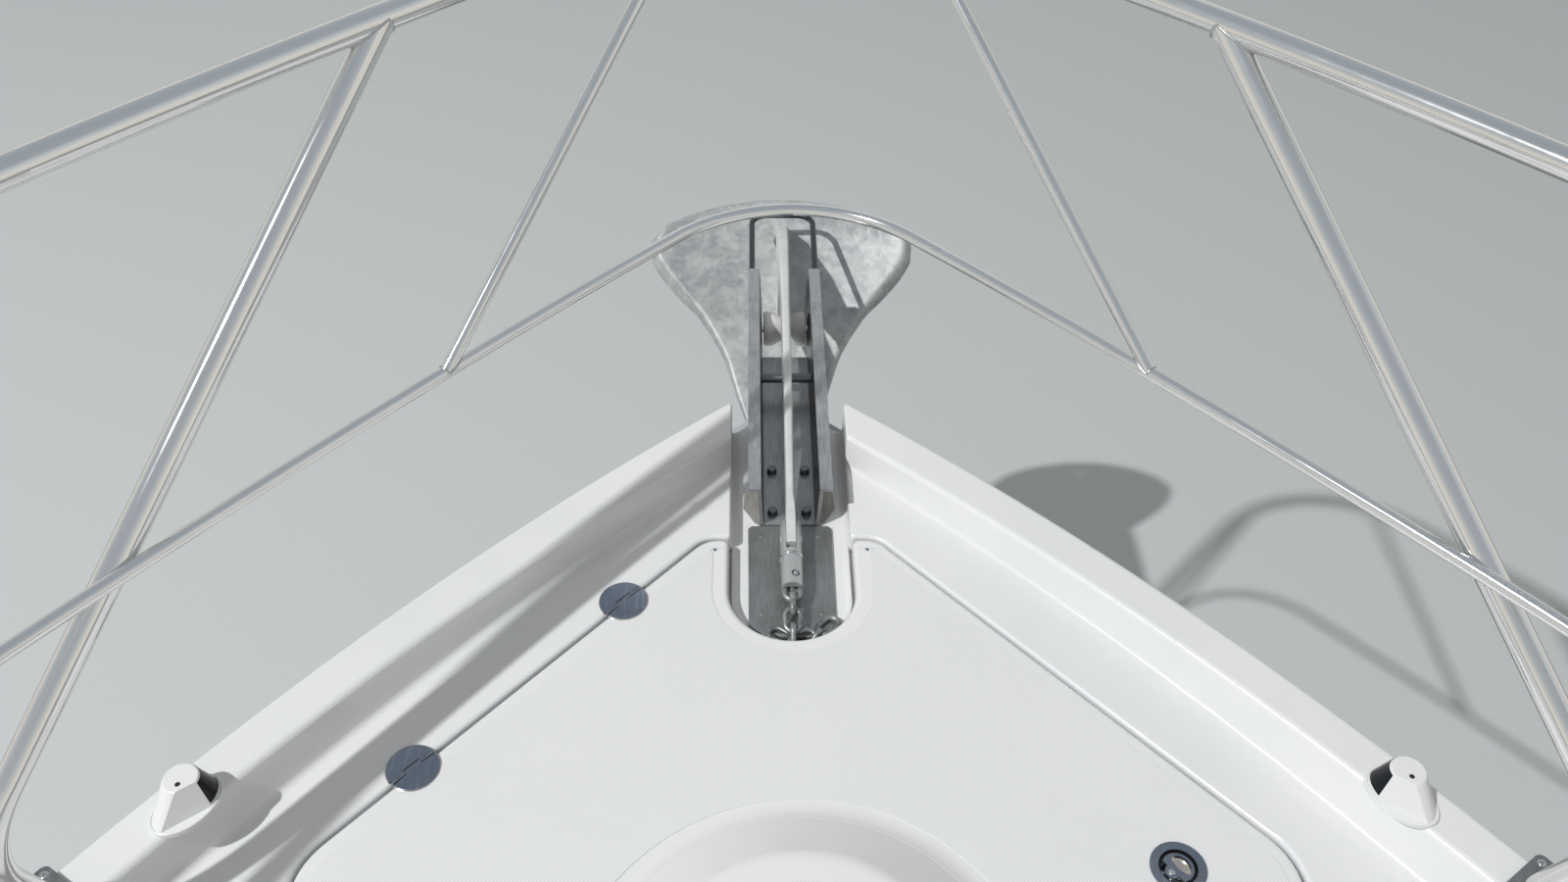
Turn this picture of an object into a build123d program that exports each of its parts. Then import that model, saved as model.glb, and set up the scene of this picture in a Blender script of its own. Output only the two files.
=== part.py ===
from build123d import *
import math
import os

# Bow section of a motor yacht: foredeck, anchor locker with hinged lid,
# bow roller with stowed anchor, and bow rail.
# X points to starboard, Y forward, Z up. Sizes in millimetres.
# Everything is drawn with the locker lid's top at height 0, then raised by
# deck_height, so that the origin is the centre of the aft joint face's bolts.

os.makedirs("parts", exist_ok=True)

# Driving dimensions

deck_height = 450.0          # lid's top above the joint bolts' centre
stem_y = 1436.0              # foremost point of the deck edge
side_chord = (790.0, 591.0)  # point of the deck edge by the main stanchions
side_bulge = 40.0            # arc's rise over the chord from the stem to side_chord

deck_thickness = 45.0
gunwale_height_fore = 40.0
gunwale_height_aft = 70.0
gunwale_width = 58.0
gunwale_slope_run = 17.0     # lean of the gunwale's inner face over gunwale_slope_rise
gunwale_slope_rise = 60.0
gunwale_edge_radius = 8.0
gunwale_foot_radius = 8.0
clear_above = 100.0          # reach of cutting solids past the face that they open

notch_half_width = 83.0
notch_floor_z = -28.0
notch_end_y = 1030.0
notch_cove_radius = 12.0
notch_edge_radius = 4.0
tongue_end_y = 976.0

lid_gap = 4.0
lid_thickness = 28.0
lid_half_width = 563.0
lid_aft_y = 150.0
lid_front_y = 1123.0
lid_corner_radius = 90.0
lid_tip_radius = 40.0
lid_slot_corner_radius = 10.0
lid_edge_radius = 7.0        # rounded edges of the lid
opening_edge_radius = 5.0    # rounded edges of the deck round the lid
ledge_drop = 32.0
ledge_width = 34.0
seal_width = 12.0
seal_squeeze = 0.3

dome_y = 452.0
dome_foot_radius = 238.0
dome_top_radius = 150.0
dome_height = 62.0
dome_wall = 8.0
dome_edge_radius = 30.0

well_depth = 430.0
well_wall = 8.0
well_front_x = 92.0
well_centre_y = 500.0
shelf_y0 = 330.0
shelf_y1 = 600.0
shelf_z = -175.0
shelf_thickness = 20.0
windlass_y = 465.0

hinge_diameter = 63.5
hinge_leaf_thickness = 3.5
hinge_leaf_gap = 0.6
hinge_axis_z = 4.0
hinge_barrel_radius = 3.8
hinge_pin_radius = 1.6
hinge_points = [(-223.0, 1008.0), (-453.0, 752.0)]

latch_point = (423.0, 615.0)
latch_diameter = 63.5
latch_rim_thickness = 3.0
latch_body_radius = 25.0
latch_body_depth = 60.0
latch_cup_radius = 22.0
latch_cup_depth = 8.0
latch_ring_radius = 18.0
latch_ring_thickness = 3.0
latch_finger_radius = 11.0
latch_turn = -55.0           # degrees from forward to the finger hole

rail_diameter = 30.0
rail_z = 757.0
rail_bore_radius = 13.0
rail_bore_length = 60.0
mid_rail_diameter = 16.0
mid_rail_z = 400.0
mid_rail_bore_radius = 6.0
mid_rail_bore_length = 40.0
foot_length = 92.0
foot_width = 46.0
foot_thickness = 5.0
foot_corner_radius = 8.0

cheek_top_z = 48.0
cheek_plate = 5.0
cheek_front_y = 1718.0
cheek_aft_y = 1170.0
cheek_low_half = 42.0
cheek_high_half = 46.0
cheek_nose_radius = 40.0
flange_width = 13.0
base_front_y = 1545.0
wing_width = 25.0
wing_length = 68.0

roller_y = 1600.0
roller_z = -8.0
roller_waist_radius = 20.0
roller_rim_radius = 28.0
roller_half_width = 34.0
roller_bolt_radius = 6.0
bolt_head_radius = 10.0
running_clearance = 0.05

retaining_pin_y = 1453.0
retaining_pin_radius = 7.5

bail_rod = 10.0
bail_half_width = 53.0
bail_front_y = 1881.0
bail_bend_radius = 28.0
bail_grip = 70.0             # length under the flanges, from the cheeks' noses

chafe_half_width = 58.0
chafe_front_half = 59.0
chafe_corner = 5.0
chafe_thickness = 4.0
chafe_lip_radius = 8.0

shank_thickness = 13.0
shank_root_thickness = 20.0
shank_taper_start_y = 1560.0
shank_taper_end_y = 1840.0
shank_low_z = 18.0
shank_top_z = 72.0
shank_end_y = 1102.0
shank_eye_y = 1117.0
shank_edge_radius = 5.0

fluke_crown = (1945.0, 20.0)   # y, z of the fluke's front edge
fluke_slope = 36.35            # degrees down towards the stem
fluke_thickness = 12.0
fluke_lip_depth = 26.0

swivel_radius = 15.0
swivel_fore_y = 1147.0
swivel_aft_y = 1029.0
jaw_pin_y = 1037.0
jaw_pin_radius = 4.0

chain_bar = 8.0
chain_inner_length = 24.0
chain_inner_width = 12.0
chain_pitch = 23.5

nav_point = (676.0, 668.0)
nav_height = 42.0
nav_flange_thickness = 5.0
nav_lens_thickness = 2.5

joint_bolt_radius = 6.5
joint_bolt_spacing_x = 1200.0
joint_bolt_spacing_z = 400.0
bulkhead_thickness = 18.0
bulkhead_height = 560.0
bulkhead_width = 1500.0
rub_rail_out = 9.0
rub_rail_low = -62.0
rub_rail_high = -30.0


# Helpers

def unit(x, y):
    n = math.hypot(x, y)
    return (x / n, y / n)


def deck_circle():
    # Centre and radius of the starboard deck edge seen from above.
    cx, cy = side_chord
    half = math.hypot(cx, stem_y - cy) / 2
    ux, uy = unit(stem_y - cy, cx)
    radius = (half ** 2 + side_bulge ** 2) / (2 * side_bulge)
    mid = (cx / 2, (stem_y + cy) / 2)
    reach = radius - side_bulge
    return (mid[0] - ux * reach, mid[1] - uy * reach, radius)


edge_cx, edge_cy, edge_radius = deck_circle()


def edge_x(inset, y):
    # Half-width of the deck edge at y, moved inboard by inset.
    r = edge_radius - inset
    return edge_cx + math.sqrt(r ** 2 - (y - edge_cy) ** 2)


def edge_tip(inset):
    r = edge_radius - inset
    return edge_cy + math.sqrt(r ** 2 - edge_cx ** 2)


def edge_plan(inset, aft_y, z):
    # The deck edge, moved inboard by inset, closed by a line across at aft_y.
    tip = edge_tip(inset)
    x_aft = edge_x(inset, aft_y)
    y_mid = (tip + aft_y) / 2
    x_mid = edge_x(inset, y_mid)
    wire = Wire([
        Line((-x_aft, aft_y), (x_aft, aft_y)),
        ThreePointArc((x_aft, aft_y), (x_mid, y_mid), (0, tip)),
        ThreePointArc((0, tip), (-x_mid, y_mid), (-x_aft, aft_y)),
    ])
    return Pos(0, 0, z) * make_face(wire)


def bow_plan(tip_y, half_width, bulge, z):
    # A pointed hull section at one height, its base on the joint face.
    ux, uy = unit(tip_y, half_width)
    mid = (half_width / 2 + ux * bulge, tip_y / 2 + uy * bulge)
    wire = Wire([
        Line((-half_width, 0), (half_width, 0)),
        ThreePointArc((half_width, 0), mid, (0, tip_y)),
        ThreePointArc((0, tip_y), (-mid[0], mid[1]), (-half_width, 0)),
    ])
    return Pos(0, 0, z) * make_face(wire)


def plate(points, low, high):
    return extrude(Pos(0, 0, low) * make_face(Polyline(*points, close=True)), high - low)


def cylinder_up(x, y, low, radius, height):
    return Pos(x, y, low + height / 2) * Cylinder(radius, height)


def cylinder_across(y, z, radius, length):
    return Pos(0, y, z) * Rot(0, 90, 0) * Cylinder(radius, length)


def joined(solids):
    total = solids[0]
    for solid in solids[1:]:
        total = total + solid
    return total


def mirrored(solid):
    return mirror(solid, about=Plane.YZ)


def tube_along(path, diameter):
    start = Plane(origin=path @ 0, z_dir=path % 0)
    return sweep(start * Circle(diameter / 2), path=path)


def side_profile(points, thickness):
    # A plate standing fore and aft on the centreline, points as (y, z).
    face = Plane.YZ * make_face(Polyline(*points, close=True))
    return extrude(face, thickness / 2, both=True)


def gunwale_z(y):
    share = y / stem_y
    return gunwale_height_aft + (gunwale_height_fore - gunwale_height_aft) * share


def plan_face(points, radii):
    # Closed outline with its own corner radius at each point.
    face = make_face(Polyline(*points, close=True))
    for (x, y), radius in zip(points, radii):
        if radius > 0:
            corner = face.vertices().sort_by_distance((x, y, 0))[0]
            face = fillet([corner], radius)
    return face


# Lid outline, port and starboard alike. The slanted side passes through
# the hinge points, and the rounded slot at the front clears the chafe plate.

hinge_a, hinge_b = hinge_points
hinge_dir = unit(hinge_a[0] - hinge_b[0], hinge_a[1] - hinge_b[1])
slot_half = notch_half_width + lid_gap


def slant_y(x, inset):
    # Y of the slanted side at half-width x, moved inboard by inset.
    y = hinge_a[1] + (x - abs(hinge_a[0])) * -hinge_dir[1] / hinge_dir[0]
    return y - inset / hinge_dir[0]


def lid_face(inset):
    # The lid's plan, each edge moved in by inset.
    side = lid_half_width - inset
    front = lid_front_y - inset
    inner = slot_half + inset
    aft = lid_aft_y + inset
    tip_x = abs(hinge_a[0]) - (front - slant_y(abs(hinge_a[0]), inset)) * hinge_dir[0] / hinge_dir[1]
    points = [
        (inner, front), (tip_x, front), (side, slant_y(side, inset)), (side, aft),
        (-side, aft), (-side, slant_y(side, inset)), (-tip_x, front), (-inner, front),
    ]
    radii = [0, lid_tip_radius, lid_corner_radius, lid_corner_radius,
             lid_corner_radius, lid_corner_radius, lid_tip_radius, 0]
    slot_radius = inner - lid_gap
    slot = Pos(0, notch_end_y) * Circle(slot_radius)
    slot += Pos(0, notch_end_y + front / 2) * Rectangle(2 * slot_radius, front)
    face = plan_face(points, radii) - slot
    if inset > 0:
        corners = []
        for corner in face.vertices():
            if abs(abs(corner.X) - slot_radius) < 0.1 and abs(corner.Y - front) < 0.1:
                corners.append(corner)
        face = fillet(corners, lid_slot_corner_radius)
    return face


# Deck moulding: gunwale, sunken deck, roller channel and locker opening

def long_edges(solid, near, far):
    # The gunwale's edges whose middle lies between two insets from the deck edge.
    found = []
    for edge in solid.edges():
        middle = edge @ 0.5
        inset = edge_x(0, middle.Y) - abs(middle.X)
        if middle.Z > gunwale_height_fore / 2 and edge.length > stem_y / 4 and near < inset < far:
            found.append(edge)
    return found


gunwale_blank = gunwale_height_aft + 20.0
deck = extrude(edge_plan(0, 0, -deck_thickness), deck_thickness + gunwale_blank)
tilt = math.degrees(math.atan((gunwale_height_aft - gunwale_height_fore) / stem_y))
trim_box = Pos(0, 0, clear_above) * Box(3 * stem_y, 3 * stem_y, 2 * clear_above)
deck -= Pos(0, 0, gunwale_height_aft) * Rot(-tilt, 0, 0) * trim_box

foot_inset = gunwale_width + gunwale_slope_run
lean = gunwale_slope_run / gunwale_slope_rise
pocket = loft([
    edge_plan(foot_inset, -clear_above, 0),
    edge_plan(foot_inset - lean * gunwale_blank, -clear_above, gunwale_blank),
], ruled=True)
deck -= pocket
foot_edges = []
for edge in deck.edges().filter_by_position(Axis.Z, -0.5, 0.5):
    if edge.length > stem_y / 4 and abs((edge @ 0.5).X) > notch_half_width:
        foot_edges.append(edge)
deck = fillet(foot_edges, gunwale_foot_radius)

channel_length = stem_y - notch_end_y + 2 * clear_above
channel_depth = gunwale_blank - notch_floor_z + clear_above
channel_mid_z = notch_floor_z + channel_depth / 2
channel = Pos(0, notch_end_y + channel_length / 2, channel_mid_z) * Box(
    2 * notch_half_width, channel_length, channel_depth)
channel += Pos(0, notch_end_y, channel_mid_z) * Cylinder(notch_half_width, channel_depth)
channel = fillet(channel.edges().group_by(Axis.Z)[0], notch_cove_radius)
deck -= channel
deck = fillet(long_edges(deck, gunwale_width / 2, 2 * gunwale_width), gunwale_edge_radius)
deck = fillet(long_edges(deck, -5, gunwale_width / 2), gunwale_edge_radius)
notch_edges = []
for edge in deck.edges():
    middle = edge @ 0.5
    if abs(abs(middle.X) - notch_half_width) < 0.5 and middle.Z > -1 and edge.length > 3:
        notch_edges.append(edge)
deck = fillet(notch_edges, notch_edge_radius)

recess = extrude(Pos(0, 0, -ledge_drop) * lid_face(-lid_gap / 2), ledge_drop + 1)
deck -= recess
shoulder_edges = []
for edge in deck.edges().filter_by_position(Axis.Z, -0.5, 0.5):
    middle = edge @ 0.5
    if abs(middle.X) < lid_half_width + lid_gap and 1 < middle.Y < lid_front_y + lid_gap:
        shoulder_edges.append(edge)
deck = fillet(shoulder_edges, opening_edge_radius)

well_top_half = lid_half_width - ledge_width
well_side_y = slant_y(well_top_half, ledge_width + 30)
well_aft_y = lid_aft_y + ledge_width
opening_points = [
    (-well_front_x, tongue_end_y), (well_front_x, tongue_end_y),
    (well_top_half, well_side_y), (well_top_half, well_aft_y),
    (-well_top_half, well_aft_y), (-well_top_half, well_side_y),
]
deck -= plate(opening_points, -deck_thickness - 1, clear_above)

# Locker well: a tapering tub below the opening

well_floor_points = [
    (-50, 880), (50, 880), (340, 560), (340, 270), (-340, 270), (-340, 560),
]


def tub(grow, low_z, high_z):
    # The well's space between two heights, each wall moved out by grow.
    faces = []
    for z in (low_z, high_z):
        share = (z + well_depth) / (well_depth - deck_thickness)
        ring = []
        for (x0, y0), (x1, y1) in zip(well_floor_points, opening_points):
            x = x0 + (x1 - x0) * share
            y = y0 + (y1 - y0) * share
            cx, cy = unit(x, y - well_centre_y)
            ring.append((x + cx * grow * 1.3, y + cy * grow * 1.3))
        faces.append(Pos(0, 0, z) * make_face(Polyline(*ring, close=True)))
    return loft(faces, ruled=True)


well_outer = tub(well_wall, -well_depth, -deck_thickness)
well_inner = tub(0, -well_depth + well_wall, -deck_thickness)
well = well_outer - well_inner
shelf_box = Pos(0, (shelf_y0 + shelf_y1) / 2, shelf_z - shelf_thickness / 2) * Box(
    2 * lid_half_width, shelf_y1 - shelf_y0, shelf_thickness)
shelf = shelf_box & well_inner

# Hull below the deck: four sections, each a knuckle line

hull_sections = [
    # stem y, half-width at the joint, bulge of the side, height
    (1430.0, edge_x(6, 0), 92.0, -deck_thickness),
    (1215.0, 1010.0, 74.0, -420.0),
    (850.0, 760.0, 46.0, -860.0),
    (140.0, 60.0, 3.0, -1290.0),
]
bands = []
for upper, lower in zip(hull_sections, hull_sections[1:]):
    bands.append(loft([bow_plan(*upper), bow_plan(*lower)], ruled=True))
hull_outer = joined(bands)
hull = hull_outer - well_outer
bulkhead_box = Pos(0, bulkhead_thickness / 2, -deck_height) * Box(
    bulkhead_width, bulkhead_thickness, bulkhead_height)
bulkhead = bulkhead_box & hull
hull -= bulkhead_box
bolt_depth = 80.0
for sx in (-1, 1):
    for sz in (-1, 1):
        x = sx * joint_bolt_spacing_x / 2
        z = -deck_height + sz * joint_bolt_spacing_z / 2
        hole = Pos(x, bolt_depth / 2, z) * Rot(90, 0, 0) * Cylinder(joint_bolt_radius, bolt_depth + 40)
        bulkhead -= hole
        hull -= hole

# Rub rail round the joint of hull and deck

rub = extrude(edge_plan(-rub_rail_out, 0, rub_rail_low), rub_rail_high - rub_rail_low)
rub -= extrude(edge_plan(0, -10, -deck_thickness), deck_thickness)
rub -= hull_outer

# Lid: slab with rounded edges and a raised round dome over the windlass

lid = extrude(Pos(0, 0, -lid_thickness) * lid_face(lid_gap / 2), lid_thickness)
lid = fillet(lid.edges().group_by(Axis.Z)[-1], lid_edge_radius)
dome_outer = loft([
    Pos(0, dome_y, 0) * Circle(dome_foot_radius),
    Pos(0, dome_y, dome_height) * Circle(dome_top_radius),
], ruled=True)
dome_inner = loft([
    Pos(0, dome_y, -lid_thickness - 1) * Circle(dome_foot_radius - dome_wall * 1.6),
    Pos(0, dome_y, dome_height - dome_wall) * Circle(dome_top_radius - dome_wall / 2),
], ruled=True)
top_edge = dome_outer.edges().filter_by(GeomType.CIRCLE).group_by(Axis.Z)[-1]
lid = lid + fillet(top_edge, dome_edge_radius) - dome_inner
latch_x, latch_y = latch_point
lid -= cylinder_up(latch_x, latch_y, -lid_thickness - 1, latch_body_radius, lid_thickness + 2)

# Seal strip on the opening's ledge, left open to the chain at the tongue

seal_outline = []
for x, y in opening_points:
    cx, cy = unit(x, y - well_centre_y)
    reach_y = 0 if y == tongue_end_y else cy * seal_width
    seal_outline.append((x + cx * seal_width, y + reach_y))
seal_top = -lid_thickness - seal_squeeze
seal = plate(seal_outline, -ledge_drop, seal_top) - plate(opening_points, -ledge_drop, seal_top)

# Hinges: a half disc on the deck and one on the lid, knuckles between them

hinge_angle = math.degrees(math.atan2(hinge_dir[1], hinge_dir[0]))
hinge_half = hinge_diameter / 2
knuckle_rows = [
    # start and end along the hinge as shares of its half length, and the side that carries it
    (-0.94, -0.36, "deck"),
    (-0.33, 0.33, "lid"),
    (0.36, 0.94, "deck"),
]


def along_hinge(centre, radius, length):
    return Pos(centre, 0, hinge_axis_z) * Rot(0, 90, 0) * Cylinder(radius, length)


def hinge_leaf(side):
    # One leaf with its knuckles, drawn about the hinge's centre, its pin along X.
    sign = 1 if side == "deck" else -1
    disc = cylinder_up(0, 0, 0, hinge_half, hinge_leaf_thickness)
    middle_y = sign * (hinge_half + hinge_leaf_gap) / 2
    half_box = Pos(0, middle_y, hinge_leaf_thickness / 2) * Box(hinge_diameter, hinge_half, hinge_leaf_thickness)
    leaf = (disc & half_box) - along_hinge(0, hinge_barrel_radius + 0.5, hinge_diameter)
    web_width = 6.0
    for low, high, carrier in knuckle_rows:
        if carrier == side:
            length = (high - low) * hinge_half
            centre = (high + low) / 2 * hinge_half
            web = Pos(centre, sign * web_width / 2, hinge_leaf_thickness / 2) * Box(
                length, web_width, hinge_leaf_thickness)
            leaf = leaf + along_hinge(centre, hinge_barrel_radius, length) + (web & disc)
    clearance = running_clearance if side == "lid" else 0
    leaf -= along_hinge(0, hinge_pin_radius + clearance, hinge_diameter)
    return leaf & Pos(0, 0, 50) * Box(200, 200, 100)


pin_share = 0.92
hinge_pin = along_hinge(0, hinge_pin_radius, hinge_diameter * pin_share)
places = [Pos(x, y, 0) * Rot(0, 0, hinge_angle) for x, y in hinge_points]
deck_leaves = joined([place * hinge_leaf("deck") for place in places])
lid_leaves = joined([place * hinge_leaf("lid") for place in places])
hinge_pins = joined([place * hinge_pin for place in places])

# Latch: round bezel let into the lid, lifting ring and body

latch_place = Pos(latch_x, latch_y, 0) * Rot(0, 0, latch_turn)
bezel_depth = 12.0
bezel = cylinder_up(0, 0, 0, latch_diameter / 2, latch_rim_thickness)
bezel += cylinder_up(0, 0, -bezel_depth, latch_body_radius, bezel_depth)
bezel -= cylinder_up(0, 0, latch_rim_thickness - latch_cup_depth - 3, latch_cup_radius, latch_cup_depth + 3.05)
ring_low = -1.0
latch_ring = cylinder_up(0, 0, ring_low, latch_ring_radius, latch_ring_thickness)
latch_ring -= cylinder_up(0, 3, ring_low - 1, latch_finger_radius, latch_ring_thickness + 2)
latch_ring += Pos(0, -14, ring_low + latch_ring_thickness / 2) * Box(20, 6, latch_ring_thickness)
latch_ring += cylinder_up(0, -14, latch_rim_thickness - latch_cup_depth - 3, 3, latch_cup_depth)
latch_body = cylinder_up(0, 0, -latch_body_depth, latch_body_radius, latch_body_depth - bezel_depth)

# Bow roller channel: base, slanting cheeks and top flanges

low_z = notch_floor_z
cheek_rise = cheek_top_z - low_z
flange_half = cheek_high_half + flange_width
flange_low_z = cheek_top_z - cheek_plate
section_half = [
    # x, z from the base's middle round the outside of the cheek and back inside
    (cheek_low_half, low_z), (cheek_high_half, flange_low_z), (flange_half, flange_low_z),
    (flange_half, cheek_top_z), (cheek_high_half - cheek_plate, cheek_top_z),
    (cheek_low_half - cheek_plate, low_z + cheek_plate),
]
section = section_half + [(-x, z) for x, z in reversed(section_half)]
section_plane = Plane(origin=(0, cheek_front_y, 0), x_dir=(1, 0, 0), z_dir=(0, -1, 0))
roller_channel = extrude(section_plane * make_face(Polyline(*section, close=True)), cheek_front_y - cheek_aft_y)

mouth_length = cheek_front_y - base_front_y + 50
mouth_width = 2 * (cheek_low_half - cheek_plate)
roller_channel -= Pos(0, base_front_y + mouth_length / 2, low_z - 10) * Box(mouth_width, mouth_length, 50)
nose_x = (cheek_low_half + cheek_high_half) / 2
for sx in (-1, 1):
    nose = Pos(sx * nose_x, cheek_front_y - 12, 10) * Box(60, 30, 140)
    nose_arc = Pos(sx * nose_x, cheek_front_y - cheek_nose_radius, cheek_top_z - cheek_nose_radius) * Rot(
        0, 90, 0) * Cylinder(cheek_nose_radius, 60)
    roller_channel -= nose - nose_arc
wing_x = cheek_low_half - 1
wing_points = [
    (wing_x, cheek_aft_y), (wing_x + 8, cheek_aft_y + 6), (wing_x + wing_width, cheek_aft_y + 36),
    (wing_x + wing_width - 2, cheek_aft_y + wing_length), (wing_x, cheek_aft_y + wing_length),
]
wing = plate(wing_points, low_z, low_z + 4)
roller_channel += wing + mirrored(wing)

base_top_z = low_z + cheek_plate
washer_thickness = 2.0
washer_radius = 7.5
base_head_radius = 6.5
base_head_height = 6.0
base_bolt_rows = [
    # x, y on the channel's base
    (-24.0, 1193.0), (24.0, 1193.0), (-24.0, 1278.0), (24.0, 1278.0),
]
base_bolts = []
for bx, by in base_bolt_rows:
    washer = cylinder_up(bx, by, base_top_z, washer_radius, washer_thickness)
    head = Pos(bx, by, base_top_z + washer_thickness) * extrude(
        RegularPolygon(base_head_radius, 6), base_head_height)
    base_bolts.append(washer + head)
channel_bolts = joined(base_bolts)

bolt_reach = 2 * cheek_high_half
bolt_head_height = 8.0
bolt_head_x = cheek_low_half + 1 + bolt_head_height / 2
roller_bolt = cylinder_across(roller_y, roller_z, roller_bolt_radius, bolt_reach)
for sx in (-1, 1):
    head = Pos(sx * bolt_head_x, roller_y, roller_z) * Rot(0, 90, 0) * Cylinder(
        bolt_head_radius, bolt_head_height)
    roller_bolt += head
roller_channel -= roller_bolt
bore_radius = roller_bolt_radius + running_clearance
rim_width = 8.0
waist_half = 10.0
roller_profile = Polyline(
    (0, bore_radius), (roller_half_width, bore_radius),
    (roller_half_width, roller_rim_radius), (roller_half_width - rim_width, roller_rim_radius),
    (waist_half, roller_waist_radius), (-waist_half, roller_waist_radius),
    (-roller_half_width + rim_width, roller_rim_radius), (-roller_half_width, roller_rim_radius),
    (-roller_half_width, bore_radius), close=True)
roller = Pos(0, roller_y, roller_z) * revolve(make_face(roller_profile), Axis.X)

pin_z = shank_low_z - retaining_pin_radius
cheek_half_at_pin = cheek_low_half + (pin_z - low_z) / cheek_rise * (cheek_high_half - cheek_low_half)
retaining_pin = cylinder_across(retaining_pin_y, pin_z, retaining_pin_radius, 2 * cheek_half_at_pin + 8)
roller_channel -= retaining_pin

# Bail: bent rod from under the flanges round ahead of the roller, over the shank

bail_z = flange_low_z - bail_rod / 2 + 0.5
bail_end_y = cheek_front_y - bail_grip
bail_path = FilletPolyline(
    (-bail_half_width, bail_end_y, bail_z), (-bail_half_width, bail_front_y, bail_z),
    (bail_half_width, bail_front_y, bail_z), (bail_half_width, bail_end_y, bail_z),
    radius=bail_bend_radius)
bail = tube_along(bail_path, bail_rod)
roller_channel -= bail

# Chafe plate with a turned-down rear lip, its rear corners rounded to the notch's end

chafe_front_y = cheek_aft_y - 2
chafe_points = [
    (chafe_corner - chafe_front_half, chafe_front_y), (chafe_front_half - chafe_corner, chafe_front_y),
    (chafe_front_half, chafe_front_y - chafe_corner), (chafe_half_width, tongue_end_y),
    (-chafe_half_width, tongue_end_y), (-chafe_front_half, chafe_front_y - chafe_corner),
]
chafe = plate(chafe_points, low_z, low_z + chafe_thickness)
lip_axis_z = low_z + chafe_thickness - chafe_lip_radius
lip_round = cylinder_across(tongue_end_y, lip_axis_z, chafe_lip_radius, 2 * chafe_half_width)
chafe += lip_round & Pos(0, tongue_end_y - 20, lip_axis_z + 5) * Box(2 * chafe_half_width, 40, 26)
notch_flat_radius = notch_half_width - notch_cove_radius - 0.3
chafe_trim = Pos(0, notch_end_y, low_z) * Cylinder(notch_flat_radius, clear_above)
chafe_trim += Pos(0, notch_end_y + clear_above, low_z) * Box(2 * notch_flat_radius, 2 * clear_above, clear_above)
chafe = chafe & chafe_trim
chafe_holes = [
    # x, y of the screws
    (-40.0, 1149.0), (40.0, 1149.0), (-40.0, 1008.0), (40.0, 1008.0),
]
for hx, hy in chafe_holes:
    chafe -= cylinder_up(hx, hy, low_z - 1, 3, chafe_thickness + 2)

# Anchor: shank on edge, fluke plate with turned-down sides

crown_y, crown_z = fluke_crown
slope = math.radians(fluke_slope)


def on_fluke(s):
    # Point on the fluke's top at distance s from the crown, as (y, z).
    return (crown_y - s * math.cos(slope), crown_z - s * math.sin(slope))


root_front = on_fluke(54)
root_back = on_fluke(256)
shank_half = shank_thickness / 2
root_half = shank_root_thickness / 2
eye_half_height = 15.0
shank_points = [
    # y, z along the underside to the fluke, then back along the top
    (shank_end_y, -eye_half_height), (shank_eye_y + 2, -eye_half_height), (1180, -4), (1300, shank_low_z),
    (1650, shank_low_z), (1690, -2), (1722, -60), root_back,
    root_front, (1840, 32), (1760, 60), (1660, shank_top_z),
    (1420, shank_top_z), (1180, 32), (shank_eye_y + 2, eye_half_height), (shank_end_y, eye_half_height),
]
shank_plan = [
    (shank_half, shank_end_y - 5), (shank_half, shank_taper_start_y), (root_half, shank_taper_end_y),
    (root_half, root_front[0] + 5), (-root_half, root_front[0] + 5), (-root_half, shank_taper_end_y),
    (-shank_half, shank_taper_start_y), (-shank_half, shank_end_y - 5),
]
shank = side_profile(shank_points, shank_root_thickness) & plate(shank_plan, -2 * clear_above, clear_above)
shank_top_edges = []
for edge in shank.edges():
    middle = edge @ 0.5
    on_top = middle.Z > eye_half_height - 1 and abs(middle.Z - shank_low_z) > 9
    if on_top and abs(middle.X) > shank_half - 0.1 and middle.Y < root_front[0] - 20:
        shank_top_edges.append(edge)
shank = fillet(shank_top_edges, shank_edge_radius)
eye_hole = cylinder_across(shank_eye_y, 0, 7, 2 * swivel_radius)
pin_groove = cylinder_across(retaining_pin_y, pin_z, retaining_pin_radius, 2 * cheek_low_half)
shank -= eye_hole
shank -= pin_groove

fluke_rows = [
    # distance from the crown, half-width of the top, how far the side leans out at its foot
    (0, 40, 0), (10, 100, 1), (33, 170, 3), (60, 208, 8), (90, 223, 15), (120, 218, 18), (155, 193, 22),
    (193, 162, 20), (241, 128, 8), (300, 98, 4), (373, 76, 2), (470, 42, 0), (553, 12, 0),
]
fluke_plane = Plane(origin=(0, crown_y, crown_z), x_dir=(1, 0, 0),
                    z_dir=(0, -math.sin(slope), math.cos(slope)))
lip_wall = 11.0
lip_start = 80.0             # distance from the crown where the turned-down sides begin


def fluke_ring(depth, wall):
    # The fluke's outline at a depth under its top, moved in by wall.
    halves = [(s, half + flare * depth / fluke_lip_depth - wall) for s, half, flare in fluke_rows]
    if wall > 0:
        halves = halves[:-1]
    ring = [(half, -s) for s, half in halves] + [(-half, -s) for s, half in reversed(halves)]
    return fluke_plane.offset(-depth) * make_face(Polyline(*ring, close=True))


cavity_depth = fluke_lip_depth + 1
fluke = loft([fluke_ring(0, 0), fluke_ring(fluke_lip_depth, 0)], ruled=True)
fluke -= loft([fluke_ring(fluke_thickness, lip_wall), fluke_ring(cavity_depth, lip_wall)], ruled=True)
front_cut = Pos(0, 0, -fluke_thickness - clear_above / 2) * Box(600, 2 * lip_start, clear_above)
fluke -= fluke_plane * front_cut
hole_distance = 36.6
hole_radius = 7.0
fluke -= fluke_plane * Pos(0, -hole_distance, 0) * Cylinder(hole_radius, clear_above)
shank -= fluke

# Swivel between shank and chain

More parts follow.
